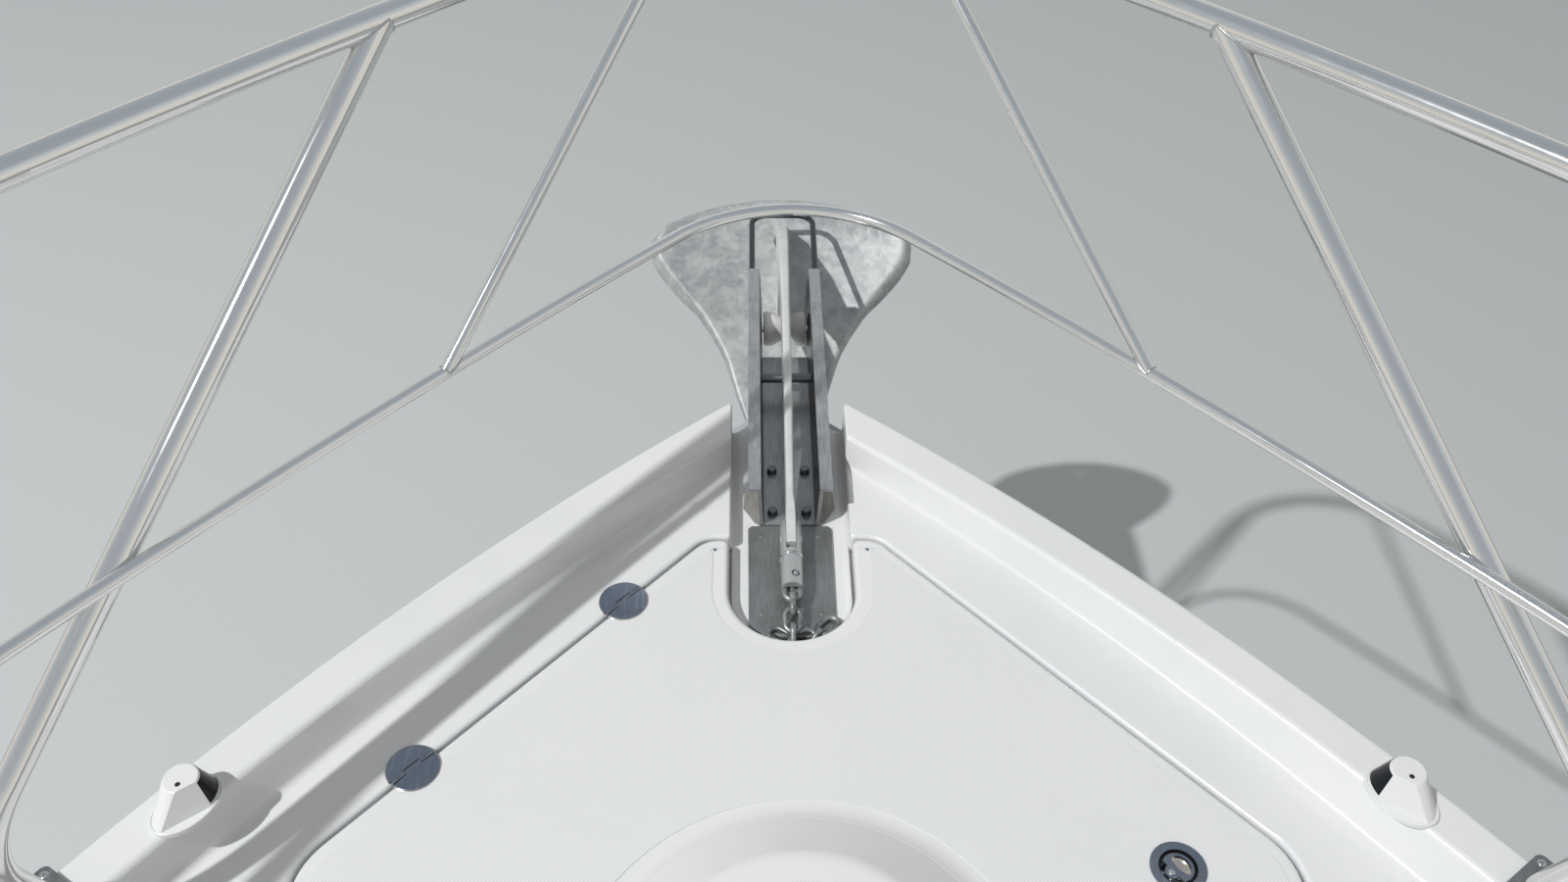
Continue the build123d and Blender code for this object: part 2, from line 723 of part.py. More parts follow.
swivel_length = swivel_fore_y - swivel_aft_y
swivel = Pos(0, swivel_aft_y + swivel_length / 2, 0) * Rot(90, 0, 0) * Cylinder(swivel_radius, swivel_length)
fork_depth = 55.0
swivel -= Pos(0, swivel_fore_y, 0) * Box(shank_thickness + 1.0, 2 * fork_depth, 60)
swivel -= Pos(0, swivel_aft_y + 7, 0) * Box(60, 34, chain_bar + 2)
swivel_pin = cylinder_across(shank_eye_y, 0, 7, 2 * swivel_radius)
swivel += swivel_pin
jaw_height = 2 * swivel_radius - 3
jaw_pin = Pos(0, jaw_pin_y, 0) * Cylinder(jaw_pin_radius, jaw_height)
swivel += jaw_pin

# Chain: links along a path over the lip to the windlass, and a bight left lying on the plate

link_half_length = chain_inner_length / 2 + chain_bar
link_half_width = chain_inner_width / 2 + chain_bar
end_angles = [-90, -30, 30, 90]


def link_outline(half_length, half_width):
    # A link's rounded ends as three straight stretches each.
    straight = half_length - half_width
    points = []
    for end in (1, -1):
        for angle in end_angles:
            a = math.radians(angle)
            points.append((end * (straight + half_width * math.cos(a)), end * half_width * math.sin(a)))
    return make_face(Polyline(*points, close=True))


def chain_link():
    ring = link_outline(link_half_length, link_half_width)
    ring -= link_outline(chain_inner_length / 2, chain_inner_width / 2)
    link = extrude(ring, chain_bar / 2, both=True)
    return chamfer(link.edges().filter_by(Axis.Z, reverse=True), chain_bar * 0.25)


chain_start = jaw_pin_y - jaw_pin_radius - chain_inner_length / 2 + 7.75 + chain_pitch / 2
chain_path_points = [
    # y, z from the swivel's jaw over the lip and along the well to the windlass
    (chain_start, 0.0), (1000.0, -3.0), (976.0, -9.5), (960.0, -16.0), (952.0, -34.0), (938.0, -70.0),
    (905.0, -108.0), (850.0, -136.0), (780.0, -150.0), (700.0, -146.0), (620.0, -124.0), (520.0, -87.0),
]
spans = []
for (y0, z0), (y1, z1) in zip(chain_path_points, chain_path_points[1:]):
    spans.append(math.hypot(y1 - y0, z1 - z0))
path_length = sum(spans)


def on_chain(distance):
    left = distance
    for span, (y0, z0), (y1, z1) in zip(spans, chain_path_points, chain_path_points[1:]):
        if left <= span:
            return (y0 + (y1 - y0) * left / span, z0 + (z1 - z0) * left / span)
        left -= span
    return chain_path_points[-1]


plain_link = Rot(0, 0, 90) * chain_link()
links = []
link_count = int((path_length - chain_inner_length) / chain_pitch)
for i in range(link_count):
    start = on_chain(i * chain_pitch)
    end = on_chain((i + 1) * chain_pitch)
    mid = ((start[0] + end[0]) / 2, (start[1] + end[1]) / 2)
    pitch_angle = math.degrees(math.atan2(end[1] - start[1], end[0] - start[0]))
    turn = 0 if i % 2 == 0 else 90
    links.append(Pos(0, mid[0], mid[1]) * Rot(pitch_angle, 0, 0) * Rot(0, turn, 0) * plain_link)
bight_rows = [
    # x, y, z of a link's centre, then its heading, pitch and roll in degrees
    (47.0, 982.0, -19.9, -43.0, 0.0, 0.0),
    (29.5, 962.5, -28.0, -43.0, 38.0, 90.0),
]
for x, y, z, heading, pitch, roll in bight_rows:
    links.append(Pos(x, y, z) * Rot(0, 0, heading) * Rot(pitch, 0, 0) * Rot(0, roll, 0) * plain_link)

# Windlass in the locker, as one plain block of turned steps

windlass_rows = [
    # height above the shelf, radius, height of the step
    (0, 95, 14), (10, 48, 60), (70, 74, 12), (78, 52, 20), (96, 62, 8), (103, 40, 74), (177, 52, 10),
]
windlass = joined([cylinder_up(0, windlass_y, shelf_z + low, r, h) for low, r, h in windlass_rows])
chain = joined(links) - windlass - jaw_pin - chafe

# Navigation lights on the gunwales: a leaning round housing cut by two flats,
# a blank one facing aft and the window facing forward

nav_base_z = gunwale_z(nav_point[1])
nav_heading = math.degrees(math.atan2(0.81, -0.584)) - 90
nav_local = Pos(nav_point[0], nav_point[1], nav_base_z - 0.3) * Rot(-tilt, 0, 0) * Rot(0, 0, nav_heading)
nav_flange = extrude(Ellipse(30, 44), nav_flange_thickness)
nav_cone = loft([
    Pos(0, 0, nav_flange_thickness) * Ellipse(26, 40),
    Pos(4, 7, nav_height) * Circle(19),
], ruled=True)
nav_ridge = (-13.5, 12.0, nav_height)   # upper end of the ridge where the two flats meet
aft_flat = Plane(origin=nav_ridge, z_dir=(-0.923, -0.288, 0.253))
fore_flat = Plane(origin=nav_ridge, z_dir=(-0.550, 0.800, 0.240))
nav_cone -= aft_flat * Pos(0, 0, 50) * Box(200, 200, 100)
nav_cone -= fore_flat * Pos(0, 0, 50) * Box(200, 200, 100)
window_slab = fore_flat * Pos(0, 0, -nav_lens_thickness / 2) * Box(200, 200, nav_lens_thickness)
window_slab = window_slab & Pos(0, 0, nav_height / 2 + 4) * Box(200, 200, nav_height - 12)
lens = nav_cone & window_slab
nav_housing = nav_flange + (nav_cone - window_slab)
nav_housing -= cylinder_up(-1, 0, nav_height - 6, 2.2, 12)
nav_housing = nav_local * nav_housing - deck
lens = nav_local * lens

# Rails: plan curves at a constant height, tubes swept along them. Each rail is
# a tube bent round the bow and a side tube welded to each end of it.

top_plan = [(0.0, 1436.0), (210.0, 1350.0), (676.0, 848.0), (1212.0, 8.0)]
mid_plan = [(0.0, 1330.0), (150.0, 1266.0), (650.0, 703.0), (1140.0, 5.0)]


def rail_arcs(plan, z):
    # Tangent arcs of the starboard half, from the centreline aft.
    a, b, c, d = [(x, y, z) for x, y in plan]
    first = TangentArc(a, b, tangent=(1, 0, 0))
    second = TangentArc(b, c, tangent=first % 1)
    third = TangentArc(c, d, tangent=second % 1)
    return [first, second, third]


def rail_at_y(plan, z, y):
    # Point of the starboard half where the rail passes y.
    best = None
    for arc in rail_arcs(plan, z):
        for k in range(0, 401):
            p = arc @ (k / 400)
            if best is None or abs(p.Y - y) < abs(best.Y - y):
                best = p
    return best


def bow_tube(plan, z, diameter):
    path = Wire(rail_arcs(plan, z)[:2])
    start = Plane(origin=path @ 0, z_dir=(1, 0, 0))
    half = sweep(start * Circle(diameter / 2), path=path)
    return half + mirrored(half)


def side_tube(plan, z, diameter, bore_radius, bore_length):
    # The starboard side tube, with a bore up its aft end for a joining sleeve.
    path = rail_arcs(plan, z)[2]
    aft_dir = path % 1
    end = Plane(origin=path @ 1, z_dir=(aft_dir.X, aft_dir.Y, 0))
    bore = end * Pos(0, 0, -bore_length / 2 + 10) * Cylinder(bore_radius, bore_length + 20)
    return tube_along(path, diameter) - bore


top_bow = bow_tube(top_plan, rail_z, rail_diameter)
top_side = side_tube(top_plan, rail_z, rail_diameter, rail_bore_radius, rail_bore_length)
mid_bow = bow_tube(mid_plan, mid_rail_z, mid_rail_diameter)
mid_side = side_tube(mid_plan, mid_rail_z, mid_rail_diameter, mid_rail_bore_radius, mid_rail_bore_length)


def between_rails(solid):
    return solid - top_bow - top_side - mid_bow - mid_side


stanchion_top = rail_at_y(top_plan, rail_z, 1128.0)
stanchion_foot = (776.0, 550.0)
stanchion_bend = (785.0, 509.0, 215.0)
stanchion_path = FilletPolyline(
    (stanchion_top.X, stanchion_top.Y, rail_z), stanchion_bend,
    (stanchion_foot[0], stanchion_foot[1], gunwale_z(stanchion_foot[1]) + 2), radius=110)
stanchion = between_rails(tube_along(stanchion_path, rail_diameter))
aft_foot_y = 80.0
aft_foot = (edge_x(gunwale_width / 2, aft_foot_y), aft_foot_y)
aft_top = rail_at_y(top_plan, rail_z, aft_foot_y)
aft_path = Line((aft_top.X, aft_top.Y, rail_z), (aft_foot[0], aft_foot[1], gunwale_z(aft_foot_y) + 2))
aft_stanchion = between_rails(tube_along(aft_path, rail_diameter))
brace_low = rail_at_y(mid_plan, mid_rail_z, 1001.0)
brace_top = rail_at_y(top_plan, rail_z, 1405.0)
brace_path = Line((brace_top.X, brace_top.Y, rail_z), (brace_low.X, brace_low.Y, mid_rail_z))
brace = between_rails(tube_along(brace_path, mid_rail_diameter))

feet = []
for fx, fy in (stanchion_foot, aft_foot):
    run = edge_x(gunwale_width / 2, fy + 10) - edge_x(gunwale_width / 2, fy - 10)
    heading = math.degrees(math.atan2(run, -20)) + 180
    foot = Box(foot_length, foot_width, foot_thickness)
    foot = fillet(foot.edges().filter_by(Axis.Z), foot_corner_radius)
    lift = foot_thickness / 2 - 0.3
    feet.append(Pos(fx, fy, gunwale_z(fy)) * Rot(-tilt, 0, 0) * Rot(0, 0, heading) * Pos(0, 0, lift) * foot)
foot_plates = joined(feet) - deck
stanchion = stanchion - foot_plates - deck
aft_stanchion = aft_stanchion - foot_plates - deck

# Save every node

one_off = {
    "hull_bow": hull,
    "bulkhead": bulkhead,
    "deck_moulding": deck,
    "rub_rail": rub,
    "locker_well": well,
    "windlass_shelf": shelf,
    "lid_seal": seal,
    "windlass": windlass,
    "locker_lid": lid,
    "hinge_deck_leaves": deck_leaves,
    "hinge_pins": hinge_pins,
    "hinge_lid_leaves": lid_leaves,
    "latch_bezel": latch_place * bezel,
    "latch_ring": latch_place * latch_ring,
    "latch_body": latch_place * latch_body,
    "roller_channel": roller_channel,
    "channel_bolts": channel_bolts,
    "bow_roller": roller,
    "roller_bolt": roller_bolt,
    "retaining_pin": retaining_pin,
    "bail": bail,
    "chafe_plate": chafe,
    "anchor_shank": shank,
    "anchor_fluke": fluke,
    "swivel": swivel,
    "chain": chain,
    "top_rail_bow": top_bow,
    "mid_rail_bow": mid_bow,
}
on_both_sides = {
    "nav_light": nav_housing,
    "nav_lens": lens,
    "top_rail": top_side,
    "mid_rail": mid_side,
    "stanchion": stanchion,
    "aft_stanchion": aft_stanchion,
    "brace": brace,
    "foot_plates": foot_plates,
}
nodes = dict(one_off)
for name, solid in on_both_sides.items():
    nodes[name + "_starboard"] = solid
    nodes[name + "_port"] = mirrored(solid)
for node, solid in nodes.items():
    raised = Pos(0, 0, deck_height) * solid
    export_step(raised, "parts/" + node + ".step")
    box = solid.bounding_box()
    print(node, len(solid.solids()), round(solid.volume / 1e6, 3),
          [round(v) for v in (box.min.X, box.min.Y, box.min.Z, box.max.X, box.max.Y, box.max.Z)])
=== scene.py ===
"""Looks for the bow section of a motor yacht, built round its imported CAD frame.

Units are metres, X to starboard, Y forward, Z up. Heights are counted from the top
of the locker lid, which lies DECK above the frame's origin.
"""

import logging
import math
from dataclasses import dataclass, field
from enum import Enum

import bmesh
import bpy
from mathutils import Matrix, Vector

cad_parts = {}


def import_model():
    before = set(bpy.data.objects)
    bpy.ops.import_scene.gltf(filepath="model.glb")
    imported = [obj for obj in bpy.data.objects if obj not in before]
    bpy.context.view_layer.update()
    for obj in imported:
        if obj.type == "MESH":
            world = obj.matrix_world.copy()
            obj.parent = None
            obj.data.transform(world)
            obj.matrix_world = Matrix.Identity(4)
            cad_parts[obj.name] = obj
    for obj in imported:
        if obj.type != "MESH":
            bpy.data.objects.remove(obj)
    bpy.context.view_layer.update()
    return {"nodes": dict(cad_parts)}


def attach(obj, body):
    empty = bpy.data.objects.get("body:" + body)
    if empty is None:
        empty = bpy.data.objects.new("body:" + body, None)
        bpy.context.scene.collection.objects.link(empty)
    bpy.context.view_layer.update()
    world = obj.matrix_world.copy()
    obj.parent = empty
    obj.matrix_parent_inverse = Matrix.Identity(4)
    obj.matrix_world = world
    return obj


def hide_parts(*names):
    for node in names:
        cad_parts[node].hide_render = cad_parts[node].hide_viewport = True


DECK = 0.45
MM = 0.001
STEM_Y = 1436 * MM
SHEER_DROP = 30 * MM
SHEER = math.atan(SHEER_DROP / STEM_Y)
LOG = logging.getLogger("bow")


class Side(Enum):
    """Which side of the boat a piece is on; the value is the sign of X."""

    STARBOARD = 1
    PORT = -1


class Slot(Enum):
    """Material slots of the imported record."""

    GELCOAT = "gelcoat"
    STEEL = "steel"
    GALVANISED = "galvanised"
    NYLON = "nylon"
    HOUSING = "housing"
    WINDOW = "window"
    BLACK = "black"


# Colour and node helpers

def linear(hex_colour: str) -> tuple[float, float, float, float]:
    """Turns an sRGB hex colour to linear.

    Args:
        hex_colour: Colour such as "#E4E5E3".

    Returns:
        Linear red, green, blue and an alpha of 1.
    """
    channels = []
    for i in (1, 3, 5):
        v = int(hex_colour[i:i + 2], 16) / 255
        channels.append(v / 12.92 if v <= 0.04045 else ((v + 0.055) / 1.055) ** 2.4)
    return (*channels, 1.0)


def node(tree: bpy.types.NodeTree, kind: str, links: dict | None = None, inputs: dict | None = None,
         **settings: object) -> bpy.types.Node:
    """Adds one shader node with its settings and links.

    Args:
        tree: Node tree of the material or world.
        kind: Node type.
        links: Input name or index to the output socket that feeds it.
        inputs: Input name or index to its constant value.
        settings: Attributes of the node.

    Returns:
        The new node.
    """
    made = tree.nodes.new(kind)
    for key, value in settings.items():
        setattr(made, key, value)
    for key, value in (inputs or {}).items():
        made.inputs[key].default_value = value
    for key, source in (links or {}).items():
        tree.links.new(source, made.inputs[key])
    return made


def ramp(tree: bpy.types.NodeTree, source: bpy.types.NodeSocket,
         stops: list[tuple[float, str]]) -> bpy.types.NodeSocket:
    """Maps a value to colours.

    Args:
        tree: Node tree.
        source: Value socket.
        stops: Positions and sRGB hex colours.

    Returns:
        The colour output.
    """
    made = node(tree, "ShaderNodeValToRGB", {"Fac": source})
    elements = made.color_ramp.elements
    while len(elements) < len(stops):
        elements.new(0.5)
    for element, (position, colour) in zip(elements, stops):
        element.position = position
        element.color = linear(colour)
    return made.outputs["Color"]


def spread(tree: bpy.types.NodeTree, source: bpy.types.NodeSocket, low: float,
           high: float) -> bpy.types.NodeSocket:
    """Maps a 0 to 1 value onto a range.

    Args:
        tree: Node tree.
        source: Value socket.
        low: Result for 0.
        high: Result for 1.

    Returns:
        The value output.
    """
    made = node(tree, "ShaderNodeMapRange", {"Value": source}, {"To Min": low, "To Max": high})
    return made.outputs["Result"]


@dataclass(frozen=True)
class Finish:
    """A material of one real finish; subclasses add its pattern."""

    name: str
    colour: str
    roughness: float
    metallic: float = 0.0
    coat: float = 0.0
    specular: float = 0.5

    def build(self) -> bpy.types.Material:
        """Makes the material once and gives it back afterwards.

        Returns:
            The material.
        """
        found = bpy.data.materials.get(self.name)
        if found:
            return found
        made = bpy.data.materials.new(self.name)
        made.use_nodes = True
        made.diffuse_color = linear(self.colour)
        tree = made.node_tree
        shader = tree.nodes["Principled BSDF"]
        shader.inputs["Base Color"].default_value = linear(self.colour)
        shader.inputs["Roughness"].default_value = self.roughness
        shader.inputs["Metallic"].default_value = self.metallic
        shader.inputs["Specular IOR Level"].default_value = self.specular
        shader.inputs["Coat Weight"].default_value = self.coat
        shader.inputs["Coat Roughness"].default_value = 0.06
        place = node(tree, "ShaderNodeTexCoord").outputs["Object"]
        self.dress(tree, shader, place)
        return made

    def dress(self, tree: bpy.types.NodeTree, shader: bpy.types.Node, place: bpy.types.NodeSocket) -> None:
        """Adds the pattern; a plain finish has a faint unevenness only.

        Args:
            tree: Node tree of the material.
            shader: Its Principled BSDF.
            place: Object coordinates in metres.
        """
        cloud = node(tree, "ShaderNodeTexNoise", {"Vector": place}, {"Scale": 60.0, "Detail": 3.0})
        self.vary_roughness(tree, shader, cloud, 0.85, 1.15)

    @staticmethod
    def bump(tree: bpy.types.NodeTree, shader: bpy.types.Node, height: bpy.types.NodeSocket,
             strength: float, depth: float) -> None:
        """Feeds a height to the shader's normal.

        Args:
            tree: Node tree.
            shader: Principled BSDF.
            height: Height socket, 0 to 1.
            strength: Strength of the bump.
            depth: Real height of the pattern in metres.
        """
        made = node(tree, "ShaderNodeBump", {"Height": height}, {"Strength": strength, "Distance": depth})
        tree.links.new(made.outputs["Normal"], shader.inputs["Normal"])

    def vary_roughness(self, tree: bpy.types.NodeTree, shader: bpy.types.Node, source: bpy.types.Node,
                       low: float, high: float) -> None:
        """Varies the roughness by a pattern.

        Args:
            tree: Node tree of the material.
            shader: Its shader node.
            source: Noise node that varies it.
            low: Lowest roughness, as a share of the finish's own.
            high: Highest roughness, as a share of the finish's own.
        """
        varied = spread(tree, source.outputs["Fac"], self.roughness * low, self.roughness * high)
        tree.links.new(varied, shader.inputs["Roughness"])


@dataclass(frozen=True)
class Gelcoat(Finish):
    """Glossy polyester gelcoat from a polished mould: a clear gloss over a slightly chalky white."""

    dark: str = "#DEE0E1"

    def dress(self, tree: bpy.types.NodeTree, shader: bpy.types.Node, place: bpy.types.NodeSocket) -> None:
        """Adds broad faint chalking and a long soft waviness of the moulded surface.

        Args:
            tree: Node tree of the material.
            shader: Its shader node.
            place: Object coordinates in metres.
        """
        cloud = node(tree, "ShaderNodeTexNoise", {"Vector": place},
                     {"Scale": 3.0, "Detail": 6.0, "Roughness": 0.55})
        tint = ramp(tree, cloud.outputs["Fac"], [(0.30, self.dark), (0.66, self.colour)])
        tree.links.new(tint, shader.inputs["Base Color"])
        haze = node(tree, "ShaderNodeTexNoise", {"Vector": place}, {"Scale": 8.0, "Detail": 3.0})
        self.vary_roughness(tree, shader, haze, 0.85, 1.15)
        wave = node(tree, "ShaderNodeTexNoise", {"Vector": place}, {"Scale": 7.0, "Detail": 1.0})
        self.bump(tree, shader, wave.outputs["Fac"], 0.12, 0.5 * MM)


@dataclass(frozen=True)
class NonSkid(Finish):
    """Gelcoat moulded with a fine diamond non-skid grid: breaks the gloss up into a satin white."""

    pitch: float = 3.4 * MM  # drawn as coarse as it needs to show in the render

    def dress(self, tree: bpy.types.NodeTree, shader: bpy.types.Node, place: bpy.types.NodeSocket) -> None:
        """Adds two crossed rows of ridges, and a darker tone in the grooves, in patches.

        Args:
            tree: Node tree of the material.
            shader: Its shader node.
            place: Object coordinates in metres.
        """
        period = 2 * math.pi / 20
        rows = []
        for turn in (math.radians(38), math.radians(-38)):
            turned = node(tree, "ShaderNodeMapping", {"Vector": place}, {"Rotation": (0.0, 0.0, turn)})
            wave = node(tree, "ShaderNodeTexWave", {"Vector": turned.outputs["Vector"]},
                        {"Scale": period / self.pitch}, wave_profile="SIN", bands_direction="X")
            rows.append(wave.outputs["Fac"])
        grid = node(tree, "ShaderNodeMath", {0: rows[0], 1: rows[1]}, operation="MINIMUM").outputs[0]
        cloud = node(tree, "ShaderNodeTexNoise", {"Vector": place},
                     {"Scale": 4.0, "Detail": 6.0, "Roughness": 0.6})
        groove_tone = node(tree, "ShaderNodeMath", {0: grid, 1: cloud.outputs["Fac"]},
                    operation="MULTIPLY").outputs[0]
        # Darker in the grooves, in patches set by a noise.
        tree.links.new(ramp(tree, groove_tone, [(0.0, "#DADCDD"), (0.36, self.colour)]), shader.inputs["Base Color"])
        self.bump(tree, shader, grid, 0.32, 0.25 * MM)


@dataclass(frozen=True)
class PolishedSteel(Finish):
    """Marine stainless steel, drawn tube and castings buffed to a mirror: crisp streaks of sky and deck."""

    grain: float = 0.015

    def dress(self, tree: bpy.types.NodeTree, shader: bpy.types.Node, place: bpy.types.NodeSocket) -> None:
        """Adds buffing haze and a slight waviness that wobbles the reflections.

        Args:
            tree: Node tree of the material.
            shader: Its shader node.
            place: Object coordinates in metres.
        """
        haze = node(tree, "ShaderNodeTexNoise", {"Vector": place},
                    {"Scale": 26.0, "Detail": 5.0, "Roughness": 0.6})
        self.vary_roughness(tree, shader, haze, 0.5, 1.7)
        wave = node(tree, "ShaderNodeTexNoise", {"Vector": place}, {"Scale": 9.0, "Detail": 2.0})
        self.bump(tree, shader, wave.outputs["Fac"], self.grain * 10, 0.5 * MM)


@dataclass(frozen=True)
class BrushedSteel(Finish):
    """Folded stainless plate with a lengthwise brushed grain, dulled by salt: soft grey with fine streaks."""

    streak: float = 0.6 * MM  # drawn as coarse as it needs to show in the render
    dark: str = "#707274"
    light: str = "#A3A7AA"

    def dress(self, tree: bpy.types.NodeTree, shader: bpy.types.Node, place: bpy.types.NodeSocket) -> None:
        """Adds streaks along Y, tea-staining in broad clouds and a bump of the same grain.

        Args:
            tree: Node tree of the material.
            shader: Its shader node.
            place: Object coordinates in metres.
        """
        stretched = node(tree, "ShaderNodeMapping", {"Vector": place}, {"Scale": (1.0, 0.03, 1.0)})
        grain = node(tree, "ShaderNodeTexNoise", {"Vector": stretched.outputs["Vector"]},
                     {"Scale": 0.5 / self.streak, "Detail": 3.0})
        cloud = node(tree, "ShaderNodeTexNoise", {"Vector": place},
                     {"Scale": 18.0, "Detail": 6.0, "Roughness": 0.65})
        mixed = node(tree, "ShaderNodeMath", {0: grain.outputs["Fac"], 1: cloud.outputs["Fac"]},
                     operation="MULTIPLY").outputs[0]
        tint = ramp(tree, mixed, [(0.12, self.dark), (0.26, self.colour), (0.42, self.light)])
        tree.links.new(tint, shader.inputs["Base Color"])
        self.vary_roughness(tree, shader, cloud, 0.7, 1.5)
        self.bump(tree, shader, grain.outputs["Fac"], 0.25, 0.1 * MM)


@dataclass(frozen=True)
class Galvanised(Finish):
    """Steel dipped in molten zinc and weathered: pale matt grey with cloudy spangle and darker runs."""

    spangle: float = 9 * MM
    cloud: float = 16.0
    dark: str = "#9A9EA0"
    light: str = "#CDCFCE"

    def dress(self, tree: bpy.types.NodeTree, shader: bpy.types.Node, place: bpy.types.NodeSocket) -> None:
        """Adds crystal spangle, broad grey clouds, small pits and an uneven dipped surface.

        Args:
            tree: Node tree of the material.
            shader: Its shader node.
            place: Object coordinates in metres.
        """
        crystals = node(tree, "ShaderNodeTexVoronoi", {"Vector": place}, {"Scale": 1 / self.spangle})
        cloud = node(tree, "ShaderNodeTexNoise", {"Vector": place},
                     {"Scale": self.cloud, "Detail": 7.0, "Roughness": 0.62, "Distortion": 0.6})
        fleck = node(tree, "ShaderNodeSeparateColor", {"Color": crystals.outputs["Color"]}).outputs[0]
        share = node(tree, "ShaderNodeMath", {0: fleck}, {1: 0.16}, operation="MULTIPLY").outputs[0]
        total = node(tree, "ShaderNodeMath", {0: cloud.outputs["Fac"], 1: share}, operation="ADD").outputs[0]
        tint = ramp(tree, total, [(0.34, self.dark), (0.52, self.colour), (0.72, self.light)])
        tree.links.new(tint, shader.inputs["Base Color"])
        self.vary_roughness(tree, shader, cloud, 0.75, 1.35)
        self.bump(tree, shader, total, 0.25, 0.5 * MM)


@dataclass(frozen=True)
class Moulded(Finish):
    """Injection-moulded or cast plastic with a fine tool grain: an even satin that softens highlights."""

    grain: float = 0.8 * MM  # drawn as coarse as it needs to show in the render
    relief: float = 0.03 * MM

    def dress(self, tree: bpy.types.NodeTree, shader: bpy.types.Node, place: bpy.types.NodeSocket) -> None:
        """Adds the grain and a faint handling haze.

        Args:
            tree: Node tree of the material.
            shader: Its shader node.
            place: Object coordinates in metres.
        """
        speck = node(tree, "ShaderNodeTexNoise", {"Vector": place},
                     {"Scale": 0.5 / self.grain, "Detail": 2.0})
        haze = node(tree, "ShaderNodeTexNoise", {"Vector": place}, {"Scale": 30.0, "Detail": 4.0})
        self.vary_roughness(tree, shader, haze, 0.8, 1.25)
        self.bump(tree, shader, speck.outputs["Fac"], 0.3, self.relief)


@dataclass(frozen=True)
class Plywood(Finish):
    """Marine plywood sealed with clear epoxy: brown veneer grain lines under a thin gloss."""

    grain: float = 5 * MM

    def dress(self, tree: bpy.types.NodeTree, shader: bpy.types.Node, place: bpy.types.NodeSocket) -> None:
        """Adds veneer figure running across the panel.

        Args:
            tree: Node tree of the material.
            shader: Its shader node.
            place: Object coordinates in metres.
        """
        stretched = node(tree, "ShaderNodeMapping", {"Vector": place}, {"Scale": (0.06, 1.0, 1.0)})
        figure = node(tree, "ShaderNodeTexNoise", {"Vector": stretched.outputs["Vector"]},
                      {"Scale": 0.5 / self.grain, "Detail": 6.0, "Roughness": 0.6, "Distortion": 0.8})
        tint = ramp(tree, figure.outputs["Fac"], [(0.35, "#7A5C3C"), (0.55, self.colour), (0.70, "#B8935F")])
        tree.links.new(tint, shader.inputs["Base Color"])
        self.bump(tree, shader, figure.outputs["Fac"], 0.2, 0.2 * MM)


GELCOAT = Gelcoat("gelcoat_gloss_moulded", "#E6E7E8", 0.24, coat=0.35)
HULL_GELCOAT = Gelcoat("gelcoat_hull_moulded", "#E2E4E5", 0.16, coat=0.6)
NON_SKID = NonSkid("gelcoat_diamond_non_skid", "#E6E7E8", 0.36)
FLOWCOAT = Gelcoat("flowcoat_brushed_on", "#D2D4D4", 0.45, dark="#C5C8C8")
RAIL_STEEL = PolishedSteel("stainless_tube_polished", "#E2E2E0", 0.10, metallic=1.0)
# Blue-grey colour: a painted reflection of a dark sky, the same tone as the hinges, on every buffed casting.
SKY_TINTED_CAST_STEEL = PolishedSteel("stainless_casting_buffed", "#8A919D", 0.16, metallic=1.0, grain=0.006)
BRIGHT_STEEL = PolishedSteel("stainless_screw_bright", "#C9CBCC", 0.18, metallic=1.0)
DULL_STEEL = PolishedSteel("stainless_bolt_dulled", "#77787A", 0.32, metallic=1.0)
WELD = PolishedSteel("stainless_weld_brushed", "#B9BBBC", 0.28, metallic=1.0, grain=0.05)
CHANNEL_STEEL = BrushedSteel("stainless_plate_brushed", "#AEAFAF", 0.36, metallic=0.7, dark="#8D8D8C",
                             light="#BFC1C2")
SWIVEL_STEEL = PolishedSteel("stainless_turned_satin", "#BFC1C0", 0.34, metallic=0.6, grain=0.006)
GUSSET_STEEL = BrushedSteel("stainless_gusset_tea_stained", "#ABA79E", 0.4, metallic=0.5, dark="#8E8A80",
                            light="#BFBCB4")
# Blue-grey colour and streak tints: a painted reflection of a dark sky in the domed leaves.
SKY_TINTED_HINGE_STEEL = BrushedSteel("stainless_hinge_polished", "#8A919D", 0.20, metallic=1.0, streak=1.6 * MM,
                           dark="#7F8693",
                           light="#A0A7B2")
# Cream colour: a painted highlight, the pale deck reflected in the thin rims.
HIGHLIGHT_RIM_STEEL = PolishedSteel("stainless_rim_painted_highlight", "#D8D2C6", 0.22, metallic=0.9)
# Near-black colour: a painted reflection of dark water in the polished rod.
DARK_REFLECTION_ROD_STEEL = PolishedSteel("stainless_rod_shaded", "#4C4E51", 0.24, metallic=1.0)
# Near-black colour: painted shade and a painted dark reflection on the cheeks' inner faces.
CHEEK_SHADE_STEEL = BrushedSteel("stainless_cheek_inside", "#3C3E40", 0.3, metallic=0.9, dark="#2C2E30",
                           light="#5A5D60")
FOOT_STEEL = BrushedSteel("stainless_foot_brushed", "#8C8C8A", 0.34, metallic=0.85, dark="#757573",
                          light="#9FA0A0")
CHAFE_STEEL = BrushedSteel("stainless_plate_worn", "#8E8F8E", 0.42, metallic=0.75, dark="#7A7A78",
                           light="#A0A1A1")
ZINC = Galvanised("steel_hot_dip_galvanised", "#A9ACAC", 0.46, metallic=0.35, cloud=30.0, dark="#989C9D",
                  light="#BEC0BF")
